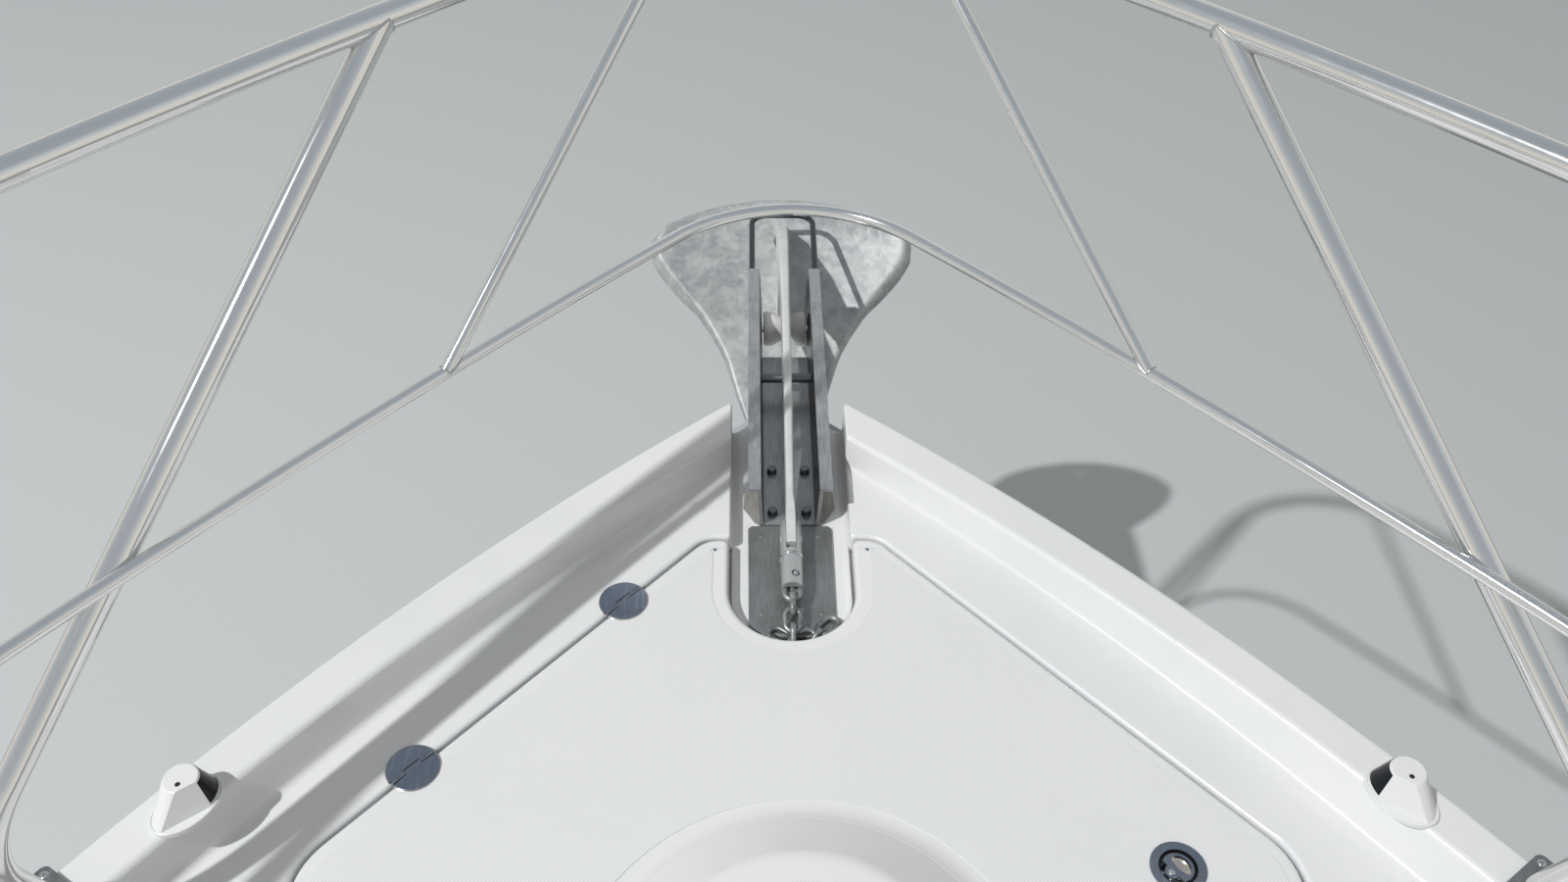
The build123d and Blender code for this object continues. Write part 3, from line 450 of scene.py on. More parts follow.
# Much lighter than the fluke's zinc: painted sunlight on the shank.
PAINTED_LIGHT_SHANK_ZINC = Galvanised("steel_bar_galvanised", "#D4D7D6", 0.44, metallic=0.2, cloud=12.0, dark="#CACDCD",
                        light="#DCDEDD")
CHAIN_ZINC = Galvanised("chain_hot_dip_galvanised", "#828484", 0.40, metallic=0.6, spangle=5 * MM,
                        dark="#5E6062",
                        light="#A3A5A5")
NYLON = Moulded("nylon_turned_white", "#E6E6E3", 0.38)
HOUSING = Moulded("asa_moulded_white", "#E4E6E4", 0.22, coat=0.3)
WINDOW = Moulded("polycarbonate_smoked_gloss", "#12161B", 0.16, specular=0.2, relief=0.005 * MM)
BLACK = Moulded("nylon_moulded_black", "#17181A", 0.5)
RUBBER = Moulded("epdm_extruded_black", "#1E1F20", 0.7)
VINYL = Moulded("vinyl_extruded_grey", "#B4B8BA", 0.48, grain=1.5 * MM)
PLY = Plywood("plywood_marine_sealed", "#9C7A4E", 0.32, coat=0.5)
# Cream colour: a painted bright reflection in the latch's polished pocket.
REFLECTION_POCKET_STEEL = PolishedSteel("stainless_pocket_bright", "#D9CFC2", 0.16, metallic=1.0)


# Mesh helpers

class Shape:
    """Gathers the vertices and faces of one piece."""

    def __init__(self) -> None:
        """Starts empty."""
        self.verts: list[Vector] = []
        self.faces: list[tuple[int, ...]] = []

    def ring(self, points: list[Vector]) -> list[int]:
        """Adds one ring of points.

        Args:
            points: The points.

        Returns:
            Their indices.
        """
        start = len(self.verts)
        self.verts.extend(Vector(p) for p in points)
        return list(range(start, start + len(points)))

    def bridge(self, a: list[int], b: list[int], closed: bool = True) -> None:
        """Joins two rings of equal length with quads.

        Args:
            a: Indices of one ring.
            b: Indices of the other.
            closed: Join the last points to the first.
        """
        count = len(a)
        for i in range(count if closed else count - 1):
            j = (i + 1) % count
            self.faces.append((a[i], a[j], b[j], b[i]))

    def cap(self, ring: list[int]) -> None:
        """Closes a ring with one face."""
        self.faces.append(tuple(ring))

    def loft(self, rings: list[list[Vector]], ends: bool = True, around: bool = False) -> None:
        """Skins rings of points.

        Args:
            rings: Rings of equal length.
            ends: Close the first and last ring with a face.
            around: Join the last ring back to the first.
        """
        indices = [self.ring(r) for r in rings]
        for a, b in zip(indices, indices[1:]):
            self.bridge(a, b)
        if around:
            self.bridge(indices[-1], indices[0])
        elif ends:
            self.cap(indices[0])
            self.cap(indices[-1])

    def lathe(self, profile: list[tuple[float, float]], place: Matrix, sides: int = 48,
              around: bool = False) -> None:
        """Turns a profile about the local Z axis.

        Args:
            profile: Radius and height of each ring.
            place: Local to frame.
            sides: Points in a ring.
            around: Join the last ring to the first, for a ring-shaped body.
        """
        rings = []
        for radius, height in profile:
            ring = []
            for k in range(sides):
                a = 2 * math.pi * k / sides
                ring.append(place @ Vector((radius * math.cos(a), radius * math.sin(a), height)))
            rings.append(ring)
        self.loft(rings, ends=not around, around=around)

    def tube(self, path: list[Vector], radius: float, sides: int = 10, closed: bool = False) -> None:
        """Sweeps a round section along points.

        Args:
            path: Centre line.
            radius: Radius of the section.
            sides: Points in a section.
            closed: Join the end to the start.
        """
        count = len(path)
        rings = []
        normal = None
        for i, point in enumerate(path):
            ahead = path[(i + 1) % count] if closed else path[min(i + 1, count - 1)]
            behind = path[i - 1] if closed else path[max(i - 1, 0)]
            along = (ahead - behind).normalized()
            if normal is None:
                normal = along.orthogonal().normalized()
            normal = (normal - along * normal.dot(along)).normalized()
            other = along.cross(normal)
            ring = []
            for k in range(sides):
                a = 2 * math.pi * k / sides
                ring.append(point + normal * (radius * math.cos(a)) + other * (radius * math.sin(a)))
            rings.append(ring)
        self.loft(rings, ends=not closed, around=closed)

    def to_bmesh(self) -> tuple[bmesh.types.BMesh, list[bmesh.types.BMVert]]:
        """Gives the shape as an editable mesh.

        Returns:
            The mesh, and its vertices in the shape's own order.
        """
        made = bmesh.new()
        verts = [made.verts.new(v) for v in self.verts]
        for face in self.faces:
            made.faces.new([verts[i] for i in face])
        return made, verts

    def finish(self, name: str, body: str, slot: Slot, finish: Finish, crisp: float = 34.0,
               replaces: tuple[str, ...] = ()) -> bpy.types.Object:
        """Makes the object, dresses it and puts it on its body.

        Args:
            name: Piece name.
            body: CAD body that it rides on.
            slot: Material slot of the record; not used.
            finish: Its finish.
            crisp: Edges sharper than this many degrees stay crisp.
            replaces: CAD nodes that it stands for.

        Returns:
            The object.
        """
        mesh = bpy.data.meshes.new(name)
        mesh.from_pydata([tuple(v) for v in self.verts], [], self.faces)
        made = bmesh.new()
        made.from_mesh(mesh)
        bmesh.ops.remove_doubles(made, verts=made.verts, dist=1e-6)
        bmesh.ops.recalc_face_normals(made, faces=made.faces)
        made.to_mesh(mesh)
        made.free()
        return place_piece(mesh, name, body, finish, crisp, replaces)


def place_piece(mesh: bpy.types.Mesh, name: str, body: str, finish: Finish, crisp: float = 34.0,
                replaces: tuple[str, ...] = ()) -> bpy.types.Object:
    """Makes an object of a finished mesh, smooth but for its crisp edges, and puts it on its body.

    Args:
        mesh: Finished mesh in the frame's coordinates.
        name: Piece name.
        body: CAD body that it rides on.
        finish: Its finish.
        crisp: Edges sharper than this many degrees stay crisp.
        replaces: CAD nodes that it stands for.

    Returns:
        The object.
    """
    mesh.polygons.foreach_set("use_smooth", [True] * len(mesh.polygons))
    mesh.set_sharp_from_angle(angle=math.radians(crisp))
    mesh.materials.clear()
    mesh.materials.append(finish.build())
    piece = bpy.data.objects.new(name, mesh)
    bpy.context.scene.collection.objects.link(piece)
    weighted = piece.modifiers.new("weighted_normals", "WEIGHTED_NORMAL")
    weighted.keep_sharp = True
    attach(piece, body)
    if replaces:
        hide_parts(*replaces)
    return piece


def arc_points(centre: tuple[float, float], radius: float, start: float, end: float,
               steps: int) -> list[tuple]:
    """Follows an arc in plan.

    Args:
        centre: Its centre.
        radius: Its radius.
        start: Angle of the first point in degrees.
        end: Angle of the last point in degrees.
        steps: Straight stretches between them.

    Returns:
        The points, both ends included.
    """
    points = []
    for k in range(steps + 1):
        a = math.radians(start + (end - start) * k / steps)
        points.append((centre[0] + radius * math.cos(a), centre[1] + radius * math.sin(a)))
    return points


def rounded(points: list[tuple[float, float]], radii: list[float],
            steps: int = 6) -> list[tuple[float, float]]:
    """Closed outline with its own corner radius at each point.

    Args:
        points: Corners in order.
        radii: Corner radius of each, 0 for a sharp one.
        steps: Straight stretches in each corner.

    Returns:
        The outline's points.
    """
    outline = []
    count = len(points)
    for i, radius in enumerate(radii):
        here = Vector(points[i])
        if radius <= 0:
            outline.append(tuple(here))
            continue
        before = (Vector(points[i - 1]) - here).normalized()
        after = (Vector(points[(i + 1) % count]) - here).normalized()
        half = before.angle(after) / 2
        reach = radius / math.tan(half)
        centre = here + (before + after).normalized() * (radius / math.sin(half))
        start = here + before * reach - centre
        end = here + after * reach - centre
        a0 = math.atan2(start.y, start.x)
        turn = math.atan2(start.x * end.y - start.y * end.x, start.dot(end))
        for k in range(steps + 1):
            a = a0 + turn * k / steps
            outline.append((centre.x + radius * math.cos(a), centre.y + radius * math.sin(a)))
    return outline


def smooth_loop(points: list[tuple[float, ...]], steps: int) -> list[Vector]:
    """Draws a closed smooth curve through points, by cubic interpolation with even timing.

    Args:
        points: Points of two or three values.
        steps: Straight stretches from one point to the next.

    Returns:
        The curve's points.
    """
    out = []
    count = len(points)
    for i in range(count):
        p0, p1, p2, p3 = (Vector(points[(i + k) % count]) for k in (-1, 0, 1, 2))
        for k in range(steps):
            t = k / steps
            a = p1 * 2 + (p2 - p0) * t + (p0 * 2 - p1 * 5 + p2 * 4 - p3) * t ** 2
            out.append((a + (p1 * 3 - p0 - p2 * 3 + p3) * t ** 3) / 2)
    return out


def flat_panel(name: str, outlines: list[list[tuple[float, float]]], low: float, thick: float,
               edge: float) -> bpy.types.Mesh:
    """A thin plate from outlines in plan, holes included, with a small chamfer.

    Args:
        name: Name of the mesh.
        outlines: Outer outline first, then holes.
        low: Height of its underside.
        thick: Its thickness.
        edge: Size of the chamfer round its top.

    Returns:
        The mesh.
    """
    curve = bpy.data.curves.new(name, "CURVE")
    curve.dimensions = "2D"
    curve.fill_mode = "BOTH"
    curve.extrude = max(thick / 2 - edge, 0.00002)
    curve.bevel_depth = edge
    curve.bevel_resolution = 1
    curve.offset = -edge
    for outline in outlines:
        spline = curve.splines.new("POLY")
        spline.points.add(len(outline) - 1)
        for point, (x, y) in zip(spline.points, outline):
            point.co = (x, y, 0.0, 1.0)
        spline.use_cyclic_u = True
    temporary = bpy.data.objects.new(name, curve)
    mesh = bpy.data.meshes.new_from_object(temporary)
    bpy.data.objects.remove(temporary)
    mesh.transform(Matrix.Translation((0, 0, low + thick / 2)))
    return mesh


def screw_head(shape: Shape, place: Matrix, radius: float, height: float, points: int) -> None:
    """A domed screw head with a real recess: a cross for 4 points, a hexagon for 6.

    Args:
        shape: Shape that takes it.
        place: Local to frame, the head's seat at local height 0.
        radius: Head radius.
        height: Head height.
        points: Points of the recess.
    """
    sides = 24
    inner = []
    for k in range(sides):
        a = 2 * math.pi * k / sides
        if points == 6:
            reach = 0.50 / max(math.cos((a % (math.pi / 3)) - math.pi / 6), 0.1) * 0.9
        else:
            reach = 0.62 if k % 6 == 0 else 0.20
        inner.append((radius * reach * math.cos(a), radius * reach * math.sin(a)))
    rings = []
    for share, rise in ((1.0, -0.4), (1.0, 0.15), (0.93, 0.55), (0.78, 0.9)):
        ring = []
        for k in range(sides):
            a = 2 * math.pi * k / sides
            ring.append(place @ Vector((radius * share * math.cos(a), radius * share * math.sin(a),
                                        height * rise)))
        rings.append(ring)
    rings.append([place @ Vector((x, y, height)) for x, y in inner])
    rings.append([place @ Vector((x * 0.9, y * 0.9, height * 0.1)) for x, y in inner])
    shape.loft(rings)


# Sub-assemblies

@dataclass
class LidDressing:
    """The lid's moulded non-skid panels, the cove round its dome, and the latch's lever."""

    slot_half: float = 87 * MM
    half_width: float = 563 * MM
    aft_y: float = 150 * MM
    front_y: float = 1123 * MM
    corner: float = 90 * MM
    tip_corner: float = 30 * MM
    slot_corner: float = 12 * MM
    notch_y: float = 1030 * MM
    hinge_a: tuple[float, float] = (-223 * MM, 1008 * MM)
    hinge_b: tuple[float, float] = (-453 * MM, 752 * MM)
    margin: float = 20 * MM
    panel_thick: float = 0.9 * MM
    dome_y: float = 452 * MM
    dome_foot: float = 238 * MM
    dome_top: float = 150 * MM
    dome_height: float = 62 * MM
    cove_radius: float = 46 * MM
    latch: tuple[float, float] = (423 * MM, 615 * MM)
    latch_turn: float = -55.0
    studs: tuple[tuple[float, float], ...] = ((-104.5, 1100.5), (104.5, 1100.5))

    def outline(self, inset: float) -> list[tuple[float, float]]:
        """The lid's plan with each edge moved in by inset.

        Args:
            inset: Distance from the lid's nominal edge, in metres.

        Returns:
            The outline's points.
        """
        along = (Vector(self.hinge_a) - Vector(self.hinge_b)).normalized()

        def slant(x: float) -> float:
            """Y of the slanted side at half-width x."""
            return self.hinge_a[1] - (x - abs(self.hinge_a[0])) * along.y / along.x - inset / along.x

        side = self.half_width - inset
        front = self.front_y - inset
        inner = self.slot_half + inset
        aft = self.aft_y + inset
        tip_x = abs(self.hinge_a[0]) - (front - slant(abs(self.hinge_a[0]))) * along.x / along.y
        corner = self.corner - inset
        points = [(inner, front), (tip_x, front), (side, slant(side)), (side, aft),
                  (-side, aft), (-side, slant(side)), (-tip_x, front), (-inner, front),
                  (-inner, self.notch_y)]
        radii = [self.slot_corner, self.tip_corner, corner, corner, corner, corner, self.tip_corner,
                 self.slot_corner, 0.0]
        around = arc_points((0.0, self.notch_y), inner, 180, 360, 28)
        return rounded(points + [(inner, self.notch_y)], radii + [0.0])[:-1] + around[1:]

    def non_skid(self) -> None:
        """Raised panels of diamond non-skid on the lid and on the dome's top."""
        ring = arc_points((0.0, self.dome_y), self.dome_foot + 17 * MM, 0, 354, 59)
        around_latch = arc_points(self.latch, 30 * MM, 0, 352, 44)
        mesh = flat_panel("lid_non_skid", [self.outline(self.margin), ring, around_latch], DECK,
                          self.panel_thick,
                          0.35 * MM)
        place_piece(mesh, "lid_non_skid", "lid", NON_SKID)
        disc = arc_points((0.0, self.dome_y), self.dome_top - 34 * MM, 0, 354, 59)
        mesh = flat_panel("dome_non_skid", [disc], DECK + self.dome_height, self.panel_thick, 0.35 * MM)
        place_piece(mesh, "dome_non_skid", "lid", NON_SKID)

    def cove(self) -> None:
        """The soft hollow where the dome's slope runs out on the lid."""
        slope = math.atan2(self.dome_height, self.dome_foot - self.dome_top)
        reach = self.cove_radius * math.tan(slope / 2)
        centre_r = self.dome_foot + reach
        profile = []
        for k in range(9):
            a = slope * k / 8
            profile.append((centre_r - self.cove_radius * math.sin(a),
                            self.cove_radius * (1 - math.cos(a)) + 0.25 * MM))
        inner_r, inner_z = profile[-1]
        profile += [(inner_r - 1.5 * MM, inner_z - 1.2 * MM), (self.dome_foot - 2 * MM, -0.5 * MM),
                    (centre_r, -0.5 * MM)]
        shape = Shape()
        shape.lathe(profile, Matrix.Translation((0, self.dome_y, DECK)), 96, around=True)
        shape.finish("dome_cove", "lid", Slot.GELCOAT, GELCOAT)

    def latch_lever(self) -> None:
        """The flush latch's ring with its half-moon opening, hub and lock nub, over a pocket whose cream
        colour is a painted reflection.
        """
        place = (Matrix.Translation((self.latch[0], self.latch[1], DECK))
                 @ Matrix.Rotation(math.radians(self.latch_turn), 4, "Z"))
        outer = []
        for k in range(25):
            a = math.radians(-28 + 236 * k / 24)
            outer.append((18.2 * MM * math.cos(a), 18.2 * MM * math.sin(a)))
        outer += [(-9.5 * MM, -8 * MM), (-7.5 * MM, -13.5 * MM), (-4.5 * MM, -17.5 * MM),
                  (4.5 * MM, -17.5 * MM),
                  (7.5 * MM, -13.5 * MM), (9.5 * MM, -8 * MM)]
        opening = []
        for k in range(17):
            a = math.radians(12 + 156 * k / 16)
            opening.append((13.6 * MM * math.cos(a), 13.6 * MM * math.sin(a) + 0.8 * MM))
        opening += [(-8 * MM, 1.2 * MM), (0.0, -0.6 * MM), (8 * MM, 1.2 * MM)]
        mesh = flat_panel("latch_lever", [outer, opening[::-1]], -0.6 * MM, 2.6 * MM, 0.7 * MM)
        mesh.transform(place)
        place_piece(mesh, "latch_lever", "lid", SKY_TINTED_CAST_STEEL, replaces=("latch_ring",))
        bowl = Shape()
        profile = [(13.9 * MM, -1.2 * MM)]
        for k in range(8):
            a = math.pi / 2 * k / 7
            profile.append((13.4 * MM * math.cos(a) + 0.1 * MM, -1.4 * MM - 5.0 * MM * math.sin(a)))
        bowl.lathe(profile + [(0.1 * MM, -7.2 * MM), (14.4 * MM, -7.2 * MM), (14.4 * MM, -1.6 * MM)],
                   place @ Matrix.Translation((0, 2 * MM, 0)), 40, around=True)
        bowl.finish("latch_pocket", "lid", Slot.STEEL, REFLECTION_POCKET_STEEL)
        groove = Shape()
        groove.lathe([(18.5 * MM, -3.4 * MM), (18.5 * MM, -1.9 * MM), (19.4 * MM, -2.5 * MM),
                      (21.2 * MM, -2.5 * MM),
                      (21.9 * MM, 1.6 * MM), (21.95 * MM, -3.4 * MM)], place, 56, around=True)
        groove.finish("latch_groove", "lid", Slot.BLACK, BLACK)
        nub = Shape()
        nub.lathe([(0.2 * MM, 3.4 * MM), (3.0 * MM, 3.3 * MM), (3.7 * MM, 2.7 * MM), (3.9 * MM, 1.0 * MM),
                   (3.9 * MM, -3.0 * MM), (0.2 * MM, -3.0 * MM)],
                   place @ Matrix.Translation((0, -10.5 * MM, 0)), 24)
        nub.finish("latch_lock", "lid", Slot.STEEL, BRIGHT_STEEL)

    def stud_heads(self) -> None:
        """Small domed heads of the pins at the lid's two front corners."""
        shape = Shape()
        for x, y in self.studs:
            shape.lathe([(2.6 * MM, -0.4 * MM), (2.5 * MM, 0.5 * MM), (1.9 * MM, 1.1 * MM),
                         (1.0 * MM, 1.4 * MM),
                         (0.1 * MM, 1.5 * MM)], Matrix.Translation((x * MM, y * MM, DECK)), 20)
        shape.finish("lid_studs", "lid", Slot.STEEL, DULL_STEEL)

    def build(self) -> None:
        """Makes and dresses every piece of the lid."""
        self.stud_heads()
        self.non_skid()
        self.cove()
        self.latch_lever()


@dataclass
class Hinges:
    """Two round deck hinges: domed half discs with rims, and knuckles that take turns about the pin."""

    centres: tuple[tuple[float, float], ...] = ((-223 * MM, 1008 * MM), (-453 * MM, 752 * MM))
    angle: float = math.radians(48.06)
    radius: float = 31.75 * MM
    edge: float = 3.5 * MM
    axis_z: float = 4.0 * MM
    knuckle: float = 2.7 * MM
    profile: tuple[tuple[float, float], ...] = (
        # radius and height of each ring, in millimetres
        (31.5, 0.1), (31.75, 0.5), (31.75, 2.2), (31.4, 2.9), (30.6, 3.35), (29.4, 3.5), (24, 4.1),
        (17, 4.65),
        (10, 5.0), (3.7, 5.15))
    knuckles: tuple[tuple[float, float, int], ...] = (
        # start and end along the pin as shares of the radius, and the side that carries it
        (-0.94, -0.355, 1), (-0.335, 0.335, -1), (0.355, 0.94, 1))

    def leaf(self, shape: Shape, place: Matrix, side: int) -> None:
        """Adds one half disc with its knuckles.

        Args:
            shape: Shape that takes it.
            place: The hinge's own place, its pin along X.
            side: 1 on the deck's side, -1 on the lid's.
        """
        rings = []
        for radius, height in self.profile:
            start = math.degrees(math.asin(self.edge / (radius * MM)))
            arc = arc_points((0.0, 0.0), radius * MM, start, 180 - start, 36)
            rings.append([place @ Vector((x, side * y, height * MM)) for x, y in arc])
        shape.loft(rings)
        for low, high, owner in self.knuckles:
            if owner != side:
                continue
            section = [(side * (self.edge + 0.6 * MM), self.axis_z - 1.9 * MM)]
            for y, z in arc_points((0.0, 0.0), self.knuckle, -90, -330, 16):
                section.append((side * y, self.axis_z + z))
            section.append((side * (self.edge + 0.6 * MM), self.axis_z + 1.1 * MM))
            ends = [low, low + 0.008, high - 0.008, high]
            inset = [0.3 * MM, 0.0, 0.0, 0.3 * MM]
            rings = []
            for share, shrink in zip(ends, inset):
                scale = 1 - shrink / self.knuckle
                rings.append([place @ Vector((share * self.radius, y * scale,
                                              self.axis_z + (z - self.axis_z) * scale))
                              for y, z in section])
            shape.loft(rings)

    def places(self) -> list[Matrix]:
        """Places of both hinges, their pins along local X."""
        turn = Matrix.Rotation(self.angle, 4, "Z")
        return [Matrix.Translation((x, y, DECK)) @ turn for x, y in self.centres]

    def build(self) -> None:
        """Makes the leaves on the deck and on the lid."""
        for side, name, body in ((1, "deck", "bow"), (-1, "lid", "lid")):
            shape = Shape()
            for place in self.places():
                self.leaf(shape, place, side)
            shape.finish(f"hinge_domes_{name}", body, Slot.STEEL, SKY_TINTED_HINGE_STEEL,
                         replaces=(f"hinge_{name}_leaves",))
            self.rims(f"hinge_rims_{name}", body, side)

    def rims(self, name: str, body: str, side: int) -> None:
        """Half rings round the feet of the leaves, their cream colour a painted highlight, and the black bed
        under their knuckles.

        Args:
            name: Piece name.
            body: CAD body that it rides on.
            side: 1 on the deck's side, -1 on the lid's.
        """
        rim, bed = Shape(), Shape()
        for place in self.places():
            arc = arc_points((0.0, 0.0), self.radius + 0.1 * MM, 8, 172, 40)
            rim.tube([place @ Vector((px, side * py, 1.1 * MM)) for px, py in arc], 0.8 * MM, 8)
            half = 29.5 * MM
            rings = []
            for end in (-half, half):
                rings.append([place @ Vector((end, side * py, pz * MM)) for py, pz in (
                    (0.3 * MM, 0.15), (3.6 * MM, 0.15), (3.6 * MM, 1.0), (0.9 * MM, 1.0), (0.3 * MM, 0.6))])
            bed.loft(rings)
        rim.finish(name, body, Slot.STEEL, HIGHLIGHT_RIM_STEEL, crisp=60)
        bed.finish(name.replace("rims", "beds"), body, Slot.BLACK, BLACK)


@dataclass
class Anchor:
    """The stowed anchor's fluke plate, a galvanised casting with turned-down rims."""

    crown: tuple[float, float] = (1945 * MM, 20 * MM)
    slope: float = math.radians(36.35)
    thick: float = 12 * MM
    lip: float = 26 * MM
    crease_at: float = 262 * MM
    crease_turn: float = math.radians(2.2)
    hole_at: float = 36.6 * MM
    hole_radius: float = 7 * MM
    dish: float = 22 * MM
    rows: tuple[tuple[float, float, float], ...] = (
        # distance from the crown, half-width of the top, lean of the rim's foot, in millimetres
        (0.8, 38, 0), (3.8, 60, 0), (10.5, 99, 1), (20, 136, 2), (33, 169, 3), (45, 191, 5), (60, 207, 8),
        (75, 218, 11),
        (90, 222, 14), (105, 220, 15), (120, 217, 17), (135, 207, 20), (155, 193, 21), (176, 176, 20),
        (193, 162, 18), (217, 142, 12), (241, 128, 8), (262, 116, 6), (300, 98, 4), (373, 76, 2),
        (470, 42, 0),
        (552, 11, 0))

    def frame(self) -> Matrix:
        """Places the fluke.

        Returns:
            Its place, with local X across, local Y from the tail to the crown and local Z off its top.
        """
        up = Vector((0, -math.sin(self.slope), math.cos(self.slope)))
        forward = Vector((0, math.cos(self.slope), math.sin(self.slope)))
        across = Vector((1, 0, 0))
        turn = Matrix((across, forward, up)).transposed().to_4x4()
        return Matrix.Translation((0, self.crown[0], DECK + self.crown[1])) @ turn

    def outline(self) -> list[Vector]:
        """Smooths the plate's outline.

        Returns:
            Its points in local X and Y; Z holds the rim's lean.
        """
        starboard = [(w * MM, -s * MM, lean * MM) for s, w, lean in self.rows]
        port = [(-x, y, lean) for x, y, lean in reversed(starboard)]
        return smooth_loop(starboard + port, 4)

    def plate(self) -> None:
        """The plate with rounded edges, rims, crown hole and the crease across it."""
        loop = self.outline()
        count = len(loop)
        normals = []
        for i in range(count):
            along = (loop[(i + 1) % count] - loop[i - 1]).to_2d().normalized()
            normals.append(Vector((along.y, -along.x)))
        middle = Vector((0.0, -0.2))
        if normals[0].dot(loop[0].to_2d() - middle) > 0:
            normals = [-n for n in normals]

        def ring(inset: float, height: float) -> list[Vector]:
            """Follows the rounded edge; the rim fades out towards the tail.

            Args:
                inset: Distance inside the outline.
                height: Height off the top.

            Returns:
                One ring of points.
            """
            points = []
            for p, n in zip(loop, normals):
                step = min(inset, abs(p.x) * 0.5 + 2 * MM)
                q = p.to_2d() + n * step
                rim = min(max((abs(p.x) - 45 * MM) / (45 * MM), 0.0), 1.0)
                rim = min(rim, max((-p.y - 40 * MM) / (40 * MM), 0.0))
                h = height if height > -self.thick else -self.thick + (height + self.thick) * rim
                points.append(Vector((q.x + math.copysign(p.z * -h / self.lip, q.x), q.y, h)))
            return points

        rows = [
            # inset, height: inside of the rim, under its edge, up the outside and onto the top
            (17, -12), (13, -13), (11.2, -16), (10.5, -22), (8.5, -25.2), (5, -26), (1.8, -25), (0.2, -22),
            (0, -14), (0.3, -6), (1.2, -2.4), (3, -0.8), (6, -0.1), (9, 0),
        ]
        shape = Shape()
        rings = [shape.ring(ring(a * MM, b * MM)) for a, b in rows]
        for a, b in zip(rings, rings[1:]):
            shape.bridge(a, b)
        hole = []
        for k in range(20):
            a = 2 * math.pi * k / 20
            hole.append((self.hole_radius * math.cos(a), -self.hole_at + self.hole_radius * math.sin(a)))
        hole_low = shape.ring([Vector((x, y, -self.thick)) for x, y in hole])
        hole_high = shape.ring([Vector((x, y, 0)) for x, y in hole])
        shape.bridge(hole_low, hole_high)
        made, verts = shape.to_bmesh()
        for outer, inner in ((rings[-1], hole_high), (rings[0], hole_low)):
            edges = []
            for loop_ids in (outer, inner):
                for i, j in zip(loop_ids, loop_ids[1:] + loop_ids[:1]):
                    edges.append(made.edges.get((verts[i], verts[j])) or made.edges.new((verts[i], verts[j])))
            bmesh.ops.triangle_fill(made, edges=edges, use_beauty=True)
        cuts = [((0, -self.crease_at + k * 5 * MM, 0), (0, 1, 0)) for k in range(-2, 3)]
        cuts += [((0, -k * 30 * MM, 0), (0, 1, 0)) for k in range(1, 8)]
        cuts += [((k * 22 * MM, 0, 0), (1, 0, 0)) for k in range(-9, 10)]
        for place, normal in cuts:
            everything = made.verts[:] + made.edges[:] + made.faces[:]
            bmesh.ops.bisect_plane(made, geom=everything, plane_co=place, plane_no=normal, dist=1e-6)
        for vert in made.verts:
            past = -vert.co.y - self.crease_at
            eased = max(past + 10 * MM, 0.0) if past < 10 * MM else past
            bend = eased ** 2 / (40 * MM) if past < 10 * MM else past
            vert.co.z -= bend * math.tan(self.crease_turn)
            share = min(abs(vert.co.x) / (200 * MM), 1.1) * min(-vert.co.y / (60 * MM), 1.0)
            vert.co.z += self.dish * share ** 2
        bmesh.ops.recalc_face_normals(made, faces=made.faces)
        mesh = bpy.data.meshes.new("fluke_plate")
        made.to_mesh(mesh)
        made.free()
        mesh.transform(self.frame())
        place_piece(mesh, "fluke_plate", "bow", ZINC, replaces=("anchor_fluke",))

    def build(self) -> None:
        """Makes the fluke; the shank's own solid is kept."""
        self.plate()


